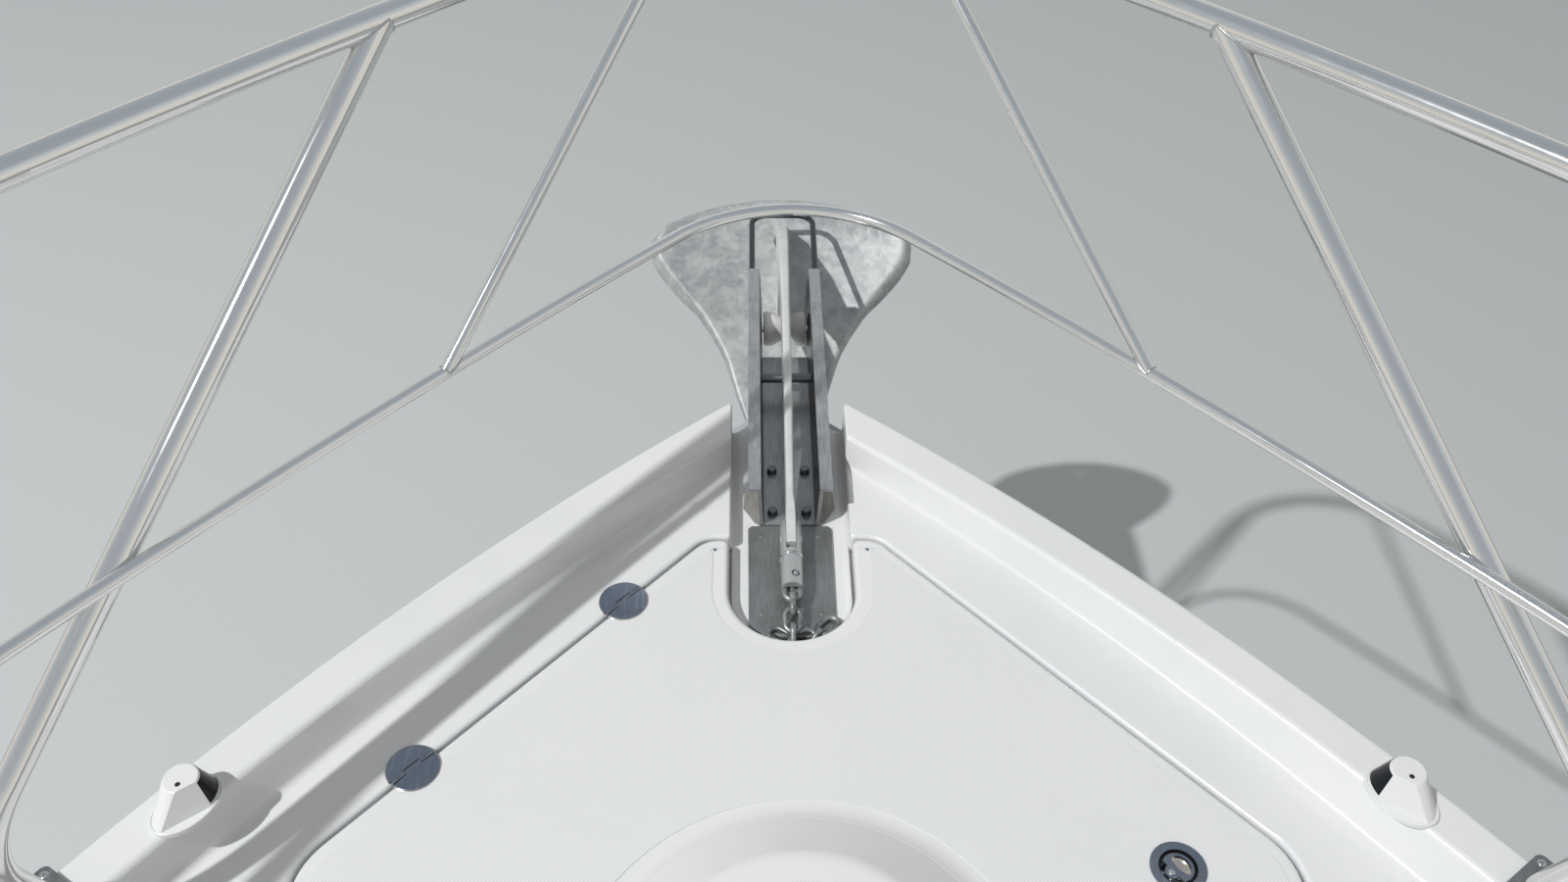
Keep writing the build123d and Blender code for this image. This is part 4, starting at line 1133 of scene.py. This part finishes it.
@dataclass
class Chain:
    """Short-link chain of round bar from the swivel into the locker, with a loose bight on the plate."""

    bar: float = 8 * MM
    inner_length: float = 24 * MM
    inner_width: float = 12 * MM
    pitch: float = 23.5 * MM
    path: tuple[tuple[float, float], ...] = (
        # y, z in millimetres from the swivel's jaw over the lip to the windlass
        (1040.5, 0.0), (1000.0, -3.0), (976.0, -9.5), (960.0, -16.0), (952.0, -34.0), (938.0, -70.0),
        (905.0, -108.0), (850.0, -136.0), (780.0, -150.0), (700.0, -146.0), (620.0, -124.0), (520.0, -87.0))
    bight: tuple[tuple[float, ...], ...] = (
        # x, y, z in millimetres, heading, pitch and roll in degrees
        (47.0, 982.0, -19.9, -43.0, 0.0, 0.0),
        (29.5, 962.5, -28.0, -43.0, 38.0, 90.0),
        (-17.0, 966.0, -19.9, 62.0, 0.0, 0.0),
        (-27.0, 952.0, -22.5, 20.0, 24.0, 64.0),
        (13.5, 961.0, -19.0, -72.0, 6.0, 22.0))

    def link(self, shape: Shape, place: Matrix) -> None:
        """One welded link, its long side along local Y.

        Args:
            shape: Shape that takes it.
            place: Local to frame.
        """
        bend = (self.inner_width + self.bar) / 2
        straight = (self.inner_length + self.bar) / 2 - bend
        path = []
        for end in (1, -1):
            for k in range(11):
                a = math.pi * k / 10
                path.append(place @ Vector((end * bend * math.cos(a), end * (straight + bend * math.sin(a)),
                                            0)))
        shape.tube(path, self.bar / 2, 10, closed=True)

    def at(self, distance: float) -> Vector:
        """Finds a point of the path.

        Args:
            distance: Length from the path's start, in metres.

        Returns:
            The point.
        """
        left = distance
        points = [Vector((0, y * MM, DECK + z * MM)) for y, z in self.path]
        for a, b in zip(points, points[1:]):
            span = (b - a).length
            if left <= span:
                return a.lerp(b, left / span)
            left -= span
        return points[-1]

    def build(self) -> None:
        """Makes every link as one piece."""
        shape = Shape()
        points = [Vector((0, y * MM, z * MM)) for y, z in self.path]
        total = sum((b - a).length for a, b in zip(points, points[1:]))
        for i in range(int((total - self.inner_length) / self.pitch)):
            start = self.at(i * self.pitch)
            end = self.at((i + 1) * self.pitch)
            along = (end - start).normalized()
            pitch = math.atan2(along.z, -along.y)
            turn = 0 if i % 2 == 0 else math.pi / 2
            place = (Matrix.Translation((start + end) / 2) @ Matrix.Rotation(-pitch, 4, "X")
                     @ Matrix.Rotation(turn, 4, "Y"))
            self.link(shape, place)
        for x, y, z, heading, pitch, roll in self.bight:
            place = (Matrix.Translation((x * MM, y * MM, DECK + z * MM))
                     @ Matrix.Rotation(math.radians(heading), 4, "Z")
                     @ Matrix.Rotation(math.radians(pitch), 4, "X")
                     @ Matrix.Rotation(math.radians(roll), 4, "Y"))
            self.link(shape, place)
        shape.finish("anchor_chain", "bow", Slot.GALVANISED, CHAIN_ZINC, crisp=60, replaces=("chain",))


@dataclass
class RollerGear:
    """The turned bow roller, the swivel's collar and screw, and the plate's countersunk screws."""

    roller_y: float = 1600 * MM
    roller_z: float = -8 * MM
    swivel_radius: float = 15 * MM
    plate_top: float = -24 * MM
    collar_y: float = 1083 * MM
    screw_at: tuple[float, float] = (4.6 * MM, 1046 * MM)
    screws: tuple[tuple[float, float], ...] = ((-40, 1149), (40, 1149), (-40, 1008), (40, 1008))
    bail_half: float = 53 * MM
    bail_z: float = 38.5 * MM
    bail_y: tuple[float, float] = (1648 * MM, 1864 * MM)
    bail_bend: float = 28 * MM
    bail_rod: float = 5 * MM
    gusset: tuple[tuple[float, float], ...] = ((42.5, 1177), (49.5, 1179), (64.3, 1207), (62.6, 1236),
                                               (42.5, 1236))

    def bail(self) -> None:
        """The bent rod that keeps the shank in the channel."""
        turn = arc_points((self.bail_half - self.bail_bend, self.bail_y[1] - self.bail_bend),
                          self.bail_bend, 0, 90, 10)
        half = [(self.bail_half, self.bail_y[0])] + turn
        path = [Vector((x, y, DECK + self.bail_z)) for x, y in half]
        path += [Vector((-p.x, p.y, p.z)) for p in reversed(path)]
        shape = Shape()
        shape.tube(path, self.bail_rod, 16)
        # The rod's colour is a painted dark reflection.
        shape.finish("bail_rod", "bow", Slot.STEEL, DARK_REFLECTION_ROD_STEEL, crisp=60, replaces=("bail",))

    def cheek_painted_shade_plates(self) -> None:
        """Thin dark plates just inside the cheeks: painted shade and a painted dark reflection on their inner
        faces.
        """
        shape = Shape()
        for side in Side:
            rings = []
            for y in (1172 * MM, 1179 * MM, 1671 * MM, 1678 * MM):
                shut = 2.0 if y in (1172 * MM, 1678 * MM) else 0.0
                section = ((36.9, -22.8 + shut), (40.9, 47.4 - shut), (40.3, 47.0 - shut),
                           (36.2, -22.4 + shut))
                rings.append([Vector((side.value * x * MM, y, DECK + z * MM)) for x, z in section])
            shape.loft(rings)
        shape.finish("cheek_painted_shade_plates", "bow", Slot.STEEL, CHEEK_SHADE_STEEL, crisp=30)

    def gussets(self) -> None:
        """Thin tea-stained plates on the channel's wings."""
        for side in Side:
            name = f"gusset_{side.name.lower()}"
            outline = [(side.value * x * MM, y * MM) for x, y in self.gusset]
            mesh = flat_panel(name, [outline[::side.value]], DECK + self.plate_top, 0.8 * MM, 0.25 * MM)
            place_piece(mesh, name, "bow", GUSSET_STEEL)

    def roller(self) -> None:
        """Hourglass nylon roller with rounded rims."""
        half = []
        for k in range(13):
            x = 25.0 * k / 12
            half.append((x, 20 + 8 * (1 - math.cos(math.pi * min(max((x - 3) / 22, 0), 1))) / 2))
        half += [(27, 28.4), (32, 28.2), (33.6, 27.2), (34, 25.5), (34, 12), (32.5, 10.5), (32.5, 6.05)]
        profile = [(r * MM, -x * MM) for x, r in reversed(half)] + [(r * MM, x * MM) for x, r in half[1:]]
        place = (Matrix.Translation((0, self.roller_y, DECK + self.roller_z))
                 @ Matrix.Rotation(math.pi / 2, 4, "Y"))
        shape = Shape()
        shape.lathe(profile, place, 56, around=True)
        shape.finish("roller_turned", "roller", Slot.NYLON, NYLON, replaces=("bow_roller",))

    def collar(self) -> None:
        """Turned collar and socket screw on the swivel."""
        shape = Shape()
        place = Matrix.Translation((0, self.collar_y, DECK)) @ Matrix.Rotation(math.pi / 2, 4, "X")
        r = self.swivel_radius
        shape.lathe([(r - 1 * MM, -3.2 * MM), (r + 0.7 * MM, -2.6 * MM), (r + 1.2 * MM, -1.2 * MM),
                     (r + 0.2 * MM, 0.0), (r + 1.2 * MM, 1.2 * MM), (r + 0.7 * MM, 2.6 * MM),
                     (r - 1 * MM, 3.2 * MM)], place, 40, around=True)
        shape.finish("swivel_collar", "bow", Slot.STEEL, BRIGHT_STEEL)
        screw = Shape()
        place = (Matrix.Translation((self.screw_at[0], self.screw_at[1], DECK + 13.6 * MM))
                 @ Matrix.Rotation(math.radians(18), 4, "Y"))
        screw_head(screw, place, 3.8 * MM, 1.8 * MM, 6)
        screw.finish("swivel_screw", "bow", Slot.STEEL, BRIGHT_STEEL, crisp=30)
        seat = Shape()
        seat.lathe([(3.9 * MM, -1.0 * MM), (3.9 * MM, 0.5 * MM), (4.6 * MM, 1.0 * MM), (5.4 * MM, 0.7 * MM),
                    (5.4 * MM, -1.0 * MM)], place, 32, around=True)
        seat.finish("swivel_screw_seat", "bow", Slot.BLACK, BLACK)

    def plate_screws(self) -> None:
        """Countersunk screws in the chafe plate."""
        shape = Shape()
        for x, y in self.screws:
            place = Matrix.Translation((x * MM, y * MM, DECK + self.plate_top - 0.4 * MM))
            screw_head(shape, place, 3.9 * MM, 1.0 * MM, 4)
        shape.finish("chafe_plate_screws", "bow", Slot.STEEL, CHAFE_STEEL, crisp=30)

    def build(self) -> None:
        """Makes the roller and its small parts."""
        self.roller()
        self.bail()
        self.cheek_painted_shade_plates()
        self.gussets()
        self.collar()
        self.plate_screws()


@dataclass
class Rail:
    """Weld beads where the rail's tubes meet, and the screws of the foot plates."""

    bead: float = 1.5 * MM
    side_chord: tuple[float, float] = (790 * MM, 591 * MM)
    bulge: float = 40 * MM
    gunwale_width: float = 58 * MM
    gunwale_z: float = 70 * MM
    foot_thick: float = 4.6 * MM
    aft_foot_y: float = 80 * MM
    front_foot: tuple[float, float] = (776 * MM, 550 * MM)
    screw_across: float = 36 * MM
    screw_along: float = 14 * MM
    screw_radius: float = 4.6 * MM
    screw_height: float = 1.0 * MM
    joints: tuple[tuple[object, ...], ...] = (
        # start of the joining tube, its other end and its radius,
        # then a point and direction of the rail, and its radius
        ((785, 509, 215), (426.48, 1128.07, 757), 15, (426.48, 1128.07, 757), (0.6835, -0.7300, 0), 15),
        ((1065.5, 80, 70), (1177.68, 80.21, 757), 15, (1177.68, 80.21, 757), (0.4390, -0.8985, 0), 15),
        ((394.84, 1001.07, 400), (132.66, 1405.01, 757), 8, (132.66, 1405.01, 757), (0.8965, -0.4431, 0), 15),
        ((132.66, 1405.01, 757), (394.84, 1001.07, 400), 8, (394.84, 1001.07, 400), (0.6652, -0.7466, 0), 8),
    )

    def weld(self, shape: Shape, row: tuple[object, ...], side: Side) -> None:
        """Adds one bead round a tube's end.

        Args:
            shape: Shape that takes it.
            row: One row of joints.
            side: Side of the boat.
        """
        mirror = Vector((side.value, 1, 1))
        lift = Vector((0, 0, DECK))
        start, end, radius, on_rail, rail_along, rail_radius = row
        p = Vector(start) * MM * mirror + lift
        q = Vector(end) * MM * mirror + lift
        rail = Vector(on_rail) * MM * mirror + lift
        along_rail = (Vector(rail_along) * mirror).normalized()
        along = (q - p).normalized()
        u = along.orthogonal().normalized()
        v = along.cross(u)
        path = []
        for k in range(36):
            a = 2 * math.pi * k / 36
            base = p + (u * math.cos(a) + v * math.sin(a)) * (radius * MM)
            off = (base - rail) - along_rail * (base - rail).dot(along_rail)
            step = along - along_rail * along.dot(along_rail)
            aa, bb, cc = step.dot(step), 2 * off.dot(step), off.dot(off) - (rail_radius * MM) ** 2
            root = max(bb * bb - 4 * aa * cc, 0.0) ** 0.5
            path.append(base + along * ((-bb - root) / (2 * aa)))
        shape.tube(path, self.bead, 8, closed=True)

    def welds(self) -> None:
        """Every weld bead as one piece."""
        shape = Shape()
        for side in Side:
            for row in self.joints:
                self.weld(shape, row, side)
        shape.finish("rail_weld_beads", "bow", Slot.STEEL, WELD, crisp=70)

    def edge_heading(self, y: float) -> tuple[float, float]:
        """Follows the middle of the gunwale's top.

        Args:
            y: Where along the boat.

        Returns:
            Its half-width there, and its heading in radians.
        """
        cx, cy = self.side_chord
        half = math.hypot(cx, STEM_Y - cy) / 2
        radius = (half ** 2 + self.bulge ** 2) / (2 * self.bulge)
        n = math.hypot(STEM_Y - cy, cx)
        ux, uy = (STEM_Y - cy) / n, cx / n
        reach = radius - self.bulge
        centre = (cx / 2 - ux * reach, (STEM_Y + cy) / 2 - uy * reach)
        inner = radius - self.gunwale_width / 2

        def width(at: float) -> float:
            """Half-width at one y."""
            return centre[0] + math.sqrt(inner ** 2 - (at - centre[1]) ** 2)

        return width(y), math.atan2(width(y + 10 * MM) - width(y - 10 * MM), -20 * MM) + math.pi

    def foot_screws(self) -> None:
        """Four countersunk screws in each foot plate."""
        shape = Shape()
        for side in Side:
            for foot_x, foot_y in (self.front_foot, (self.edge_heading(self.aft_foot_y)[0], self.aft_foot_y)):
                heading = self.edge_heading(foot_y)[1]
                top = self.gunwale_z - SHEER_DROP * foot_y / STEM_Y + self.foot_thick
                place = (Matrix.Translation((side.value * foot_x, foot_y, DECK + top))
                         @ Matrix.Rotation(-SHEER, 4, "X") @ Matrix.Rotation(side.value * heading, 4, "Z"))
                for x in (-self.screw_across, self.screw_across):
                    for y in (-self.screw_along, self.screw_along):
                        screw_head(shape, place @ Matrix.Translation((x, y, 0)), self.screw_radius,
                                   self.screw_height, 4)
        shape.finish("foot_plate_screws", "bow", Slot.STEEL, BRIGHT_STEEL, crisp=30)

    def build(self) -> None:
        """Makes the welds and screws."""
        self.welds()
        self.foot_screws()


@dataclass
class NavLight:
    """A leaning housing on an oval foot, cut by one flat, with a smoked window round its forward side."""

    point: tuple[float, float] = (676 * MM, 668 * MM)
    base_z: float = 55.74 * MM
    heading: float = math.radians(35.79)
    tilt: float = SHEER
    height: float = 42.0
    foot: float = 5.0
    low: tuple[float, float] = (26.0, 40.0)
    top_radius: float = 19.0
    top_at: tuple[float, float] = (4.0, 7.0)
    flat_at: tuple[float, float, float] = (-13.5, 12.0, 42.0)
    flat_normal: tuple[float, float, float] = (-0.923, -0.288, 0.253)
    screw: tuple[float, float] = (-1.0, 0.0)
    sides: int = 72

    def place(self, side: Side) -> Matrix:
        """Places one light.

        Args:
            side: Side of the boat.

        Returns:
            Its place, from local millimetres to the frame's metres.
        """
        move = Matrix.Translation((self.point[0], self.point[1], DECK + self.base_z))
        turn = Matrix.Rotation(-self.tilt, 4, "X") @ Matrix.Rotation(self.heading, 4, "Z")
        return Matrix.Diagonal((side.value, 1, 1, 1)) @ move @ turn @ Matrix.Diagonal((MM, MM, MM, 1))

    def on_cone(self, angle: float, z: float, out: float) -> Vector:
        """Point of the housing's round wall.

        Args:
            angle: Direction from the middle, in radians.
            z: Height in millimetres.
            out: Distance outside the wall.

        Returns:
            The point, in local millimetres.
        """
        t = (z - self.foot) / (self.height - self.foot)
        rx = self.low[0] + (self.top_radius - self.low[0]) * t + out
        ry = self.low[1] + (self.top_radius - self.low[1]) * t + out
        return Vector((self.top_at[0] * t + rx * math.cos(angle), self.top_at[1] * t + ry * math.sin(angle),
                       z))

    def cut(self, shape: Shape, behind: float) -> None:
        """Cuts a closed shape by the flat and closes it again.

        Args:
            shape: Shape in local millimetres.
            behind: How far behind the flat the cut lies.
        """
        made, _ = shape.to_bmesh()
        normal = Vector(self.flat_normal).normalized()
        everything = made.verts[:] + made.edges[:] + made.faces[:]
        bmesh.ops.bisect_plane(made, geom=everything, plane_co=Vector(self.flat_at) - normal * behind,
                               plane_no=normal, clear_outer=True, dist=1e-5)
        bmesh.ops.holes_fill(made, edges=[e for e in made.edges if e.is_boundary], sides=0)
        made.verts.index_update()
        shape.verts = [v.co.copy() for v in made.verts]
        shape.faces = [tuple(v.index for v in f.verts) for f in made.faces]
        made.free()

    def housing(self) -> Shape:
        """Builds the foot and the cut housing.

        Returns:
            Both as one shape, in local millimetres.
        """
        turns = [2 * math.pi * k / self.sides for k in range(self.sides)]
        wall = Shape()
        rows = ((3.0, 0.0), (5.0, 0.0), (14.0, 0.0), (24.0, 0.0), (33.0, 0.0), (40.4, 0.0), (41.5, -0.5),
                (42.0, -1.8))
        wall.loft([[self.on_cone(a, z, out) for a in turns] for z, out in rows])
        self.cut(wall, 0.0)
        rows = ((30.0, 44.0, -1.5), (30.0, 44.0, 3.4), (29.5, 43.5, 4.5), (28.4, 42.4, 5.0),
                (27.4, 41.4, 4.8),
                (26.8, 40.8, 3.9), (25.0, 39.0, 3.8), (20.0, 34.0, 3.8))
        wall.loft([[Vector((rx * math.cos(a), ry * math.sin(a), z)) for a in turns] for rx, ry, z in rows])
        return wall

    def window(self) -> Shape:
        """Builds the smoked window, a thin shell standing just outside the round wall.

        Returns:
            The shell, in local millimetres.
        """
        levels = [7.5 + 31.5 * k / 8 for k in range(9)]
        rings = []
        for k in range(29):
            a = math.radians(52 + 148 * k / 28)
            outside = [self.on_cone(a, z, 0.45) for z in levels]
            rings.append(outside + [self.on_cone(a, z, -0.6) for z in reversed(levels)])
        shape = Shape()
        shape.loft(rings)
        self.cut(shape, 0.35)
        return shape

    def build(self) -> None:
        """Makes both lights."""
        for side in Side:
            tag = side.name.lower()
            place = self.place(side)
            for what, shape, slot, finish in (("nav_light", self.housing(), Slot.HOUSING, HOUSING),
                                              ("nav_lens", self.window(), Slot.WINDOW, WINDOW)):
                shape.verts = [place @ v for v in shape.verts]
                shape.finish(f"{what}_moulded_{tag}", "bow", slot, finish, crisp=30,
                             replaces=(f"{what}_{tag}",))
            hole = Shape()
            hole.lathe([(3.1, -0.3), (3.0, 0.10), (2.5, 0.16), (2.2, 0.06), (0.2, 0.06)],
                       place @ Matrix.Translation((self.screw[0], self.screw[1], self.height)), 24)
            hole.finish(f"nav_screw_{tag}", "bow", Slot.BLACK, BLACK)


@dataclass
class CadFinishes:
    """Finishes of the CAD solids that are shown as they are."""

    table: dict[str, Finish] = field(default_factory=lambda: {
        "hull_bow": HULL_GELCOAT, "bulkhead": PLY, "deck_moulding": GELCOAT, "rub_rail": VINYL,
        "locker_well": FLOWCOAT, "windlass_shelf": FLOWCOAT, "lid_seal": RUBBER, "windlass": SKY_TINTED_CAST_STEEL,
        "locker_lid": GELCOAT, "hinge_deck_leaves": SKY_TINTED_CAST_STEEL, "hinge_pins": BRIGHT_STEEL,
        "hinge_lid_leaves": SKY_TINTED_CAST_STEEL, "latch_bezel": SKY_TINTED_CAST_STEEL, "latch_ring": SKY_TINTED_CAST_STEEL,
        "latch_body": BLACK,
        "roller_channel": CHANNEL_STEEL, "channel_bolts": DULL_STEEL, "bow_roller": NYLON,
        "roller_bolt": BRIGHT_STEEL, "retaining_pin": DULL_STEEL, "bail": DULL_STEEL,
        "chafe_plate": CHAFE_STEEL,
        "anchor_shank": PAINTED_LIGHT_SHANK_ZINC, "anchor_fluke": ZINC, "swivel": SWIVEL_STEEL, "chain": CHAIN_ZINC})

    def build(self, nodes: dict[str, bpy.types.Object]) -> None:
        """Gives every CAD node its material.

        Args:
            nodes: CAD node name to its object.
        """
        for name, obj in nodes.items():
            finish = self.table.get(name, RAIL_STEEL)
            if name.startswith("nav_light"):
                finish = HOUSING
            elif name.startswith("nav_lens"):
                finish = WINDOW
            elif name.startswith("foot_plates"):
                finish = FOOT_STEEL
            made = finish.build()
            if not obj.material_slots:
                obj.data.materials.append(made)
            for slot in obj.material_slots:
                slot.material = made


@dataclass
class Studio:
    """Pale floor, soft lamps, the world and the camera."""

    floor_z: float = -0.87
    floor_size: float = 30.0
    lens: float = 31.5
    sensor: float = 36.0
    camera_at: tuple[float, float, float] = (-0.0555, -0.180, 1.838)
    pitch: float = math.radians(42.76)
    roll: float = math.radians(-1.27)
    yaw: float = math.radians(1.90)
    lamps: tuple[tuple[object, ...], ...] = (
        # name, place, aim, size, power
        ("key", (-6.44, -3.11, 10.05), (-0.3, 0.95, 0.45), 0.2, 1160.0),
        ("fill", (3.8, 0.2, 3.4), (0.0, 0.8, 0.4), 3.0, 3.0),
        ("back", (0.3, 5.2, 3.2), (0.0, 1.2, 0.4), 2.6, 3.0),
    )

    def floor(self) -> None:
        """A large plain floor."""
        half = self.floor_size / 2
        mesh = bpy.data.meshes.new("floor")
        mesh.from_pydata([(-half, -half, 0), (half, -half, 0), (half, half, 0), (-half, half, 0)], [],
                         [(0, 1, 2, 3)])
        obj = bpy.data.objects.new("floor", mesh)
        obj.location = (0, 0, self.floor_z)
        bpy.context.scene.collection.objects.link(obj)
        mesh.materials.append(Moulded("floor_painted_matt", "#C9CDCE", 0.8).build())

    def world(self) -> None:
        """White to the camera and on surfaces; a cool zenith and warm horizon in reflections."""
        world = bpy.data.worlds.new("studio")
        bpy.context.scene.world = world
        world.use_nodes = True
        tree = world.node_tree
        tree.nodes.clear()
        ray = node(tree, "ShaderNodeTexCoord").outputs["Generated"]
        height = node(tree, "ShaderNodeSeparateXYZ", {"Vector": ray}).outputs["Z"]
        raised = spread(tree, height, 0.5, 1.0)
        tint = ramp(tree, raised, [(0.50, "#EDE9E0"), (0.60, "#DCDBD8"), (0.78, "#B4BAC1"), (1.0, "#A3ABB4")])
        seen = node(tree, "ShaderNodeBackground", {"Color": tint}, {"Strength": 1.0})
        soft = node(tree, "ShaderNodeBackground", None, {"Color": linear("#FFFFFF"), "Strength": 0.36})
        plain = node(tree, "ShaderNodeBackground", None, {"Color": linear("#FFFFFF"), "Strength": 1.0})
        path = node(tree, "ShaderNodeLightPath")
        lit = node(tree, "ShaderNodeMixShader", {"Fac": path.outputs["Is Glossy Ray"], 1: soft.outputs[0],
                                                 2: seen.outputs[0]})
        shown = node(tree, "ShaderNodeMixShader", {"Fac": path.outputs["Is Camera Ray"], 1: lit.outputs[0],
                                                   2: plain.outputs[0]})
        node(tree, "ShaderNodeOutputWorld", {"Surface": shown.outputs[0]})

    def lights(self) -> None:
        """Soft square lamps, the strongest from port and a little aft."""
        for name, at, aim, size, power in self.lamps:
            lamp = bpy.data.lights.new(name, "AREA")
            lamp.shape = "SQUARE"
            lamp.size = size
            lamp.energy = power
            obj = bpy.data.objects.new(name, lamp)
            away = Vector(at) - Vector(aim)
            obj.matrix_world = Matrix.Translation(at) @ away.to_track_quat("Z", "Y").to_matrix().to_4x4()
            bpy.context.scene.collection.objects.link(obj)

    def camera(self) -> None:
        """The camera at the photograph's own place and angle."""
        forward = Vector((math.sin(self.yaw) * math.cos(self.pitch),
                          math.cos(self.yaw) * math.cos(self.pitch),
                          -math.sin(self.pitch)))
        right = Vector((math.cos(self.yaw), -math.sin(self.yaw), 0))
        down = forward.cross(right)
        across = right * math.cos(self.roll) + down * math.sin(self.roll)
        low = down * math.cos(self.roll) - right * math.sin(self.roll)
        data = bpy.data.cameras.new("camera")
        data.lens = self.lens
        data.sensor_width = self.sensor
        data.clip_end = 100.0
        obj = bpy.data.objects.new("camera", data)
        turn = Matrix((across, -low, -forward)).transposed().to_4x4()
        obj.matrix_world = Matrix.Translation(self.camera_at) @ turn
        bpy.context.scene.collection.objects.link(obj)
        bpy.context.scene.camera = obj

    def build(self) -> None:
        """Sets up the whole studio."""
        bpy.context.scene.view_settings.view_transform = "Standard"
        self.floor()
        self.world()
        self.lights()
        self.camera()


def main() -> None:
    """Builds every sub-assembly in order and reports each."""
    logging.basicConfig(level=logging.INFO, format="%(name)s: %(message)s")
    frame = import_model()
    Studio().build()
    LOG.info("studio ready")
    CadFinishes().build(frame["nodes"])
    LOG.info("CAD nodes dressed: %d", len(frame["nodes"]))
    for part in (LidDressing(), Hinges(), Anchor(), Chain(), RollerGear(), NavLight(), Rail()):
        part.build()
        LOG.info("%s built", type(part).__name__)


if __name__ == "__main__":
    main()
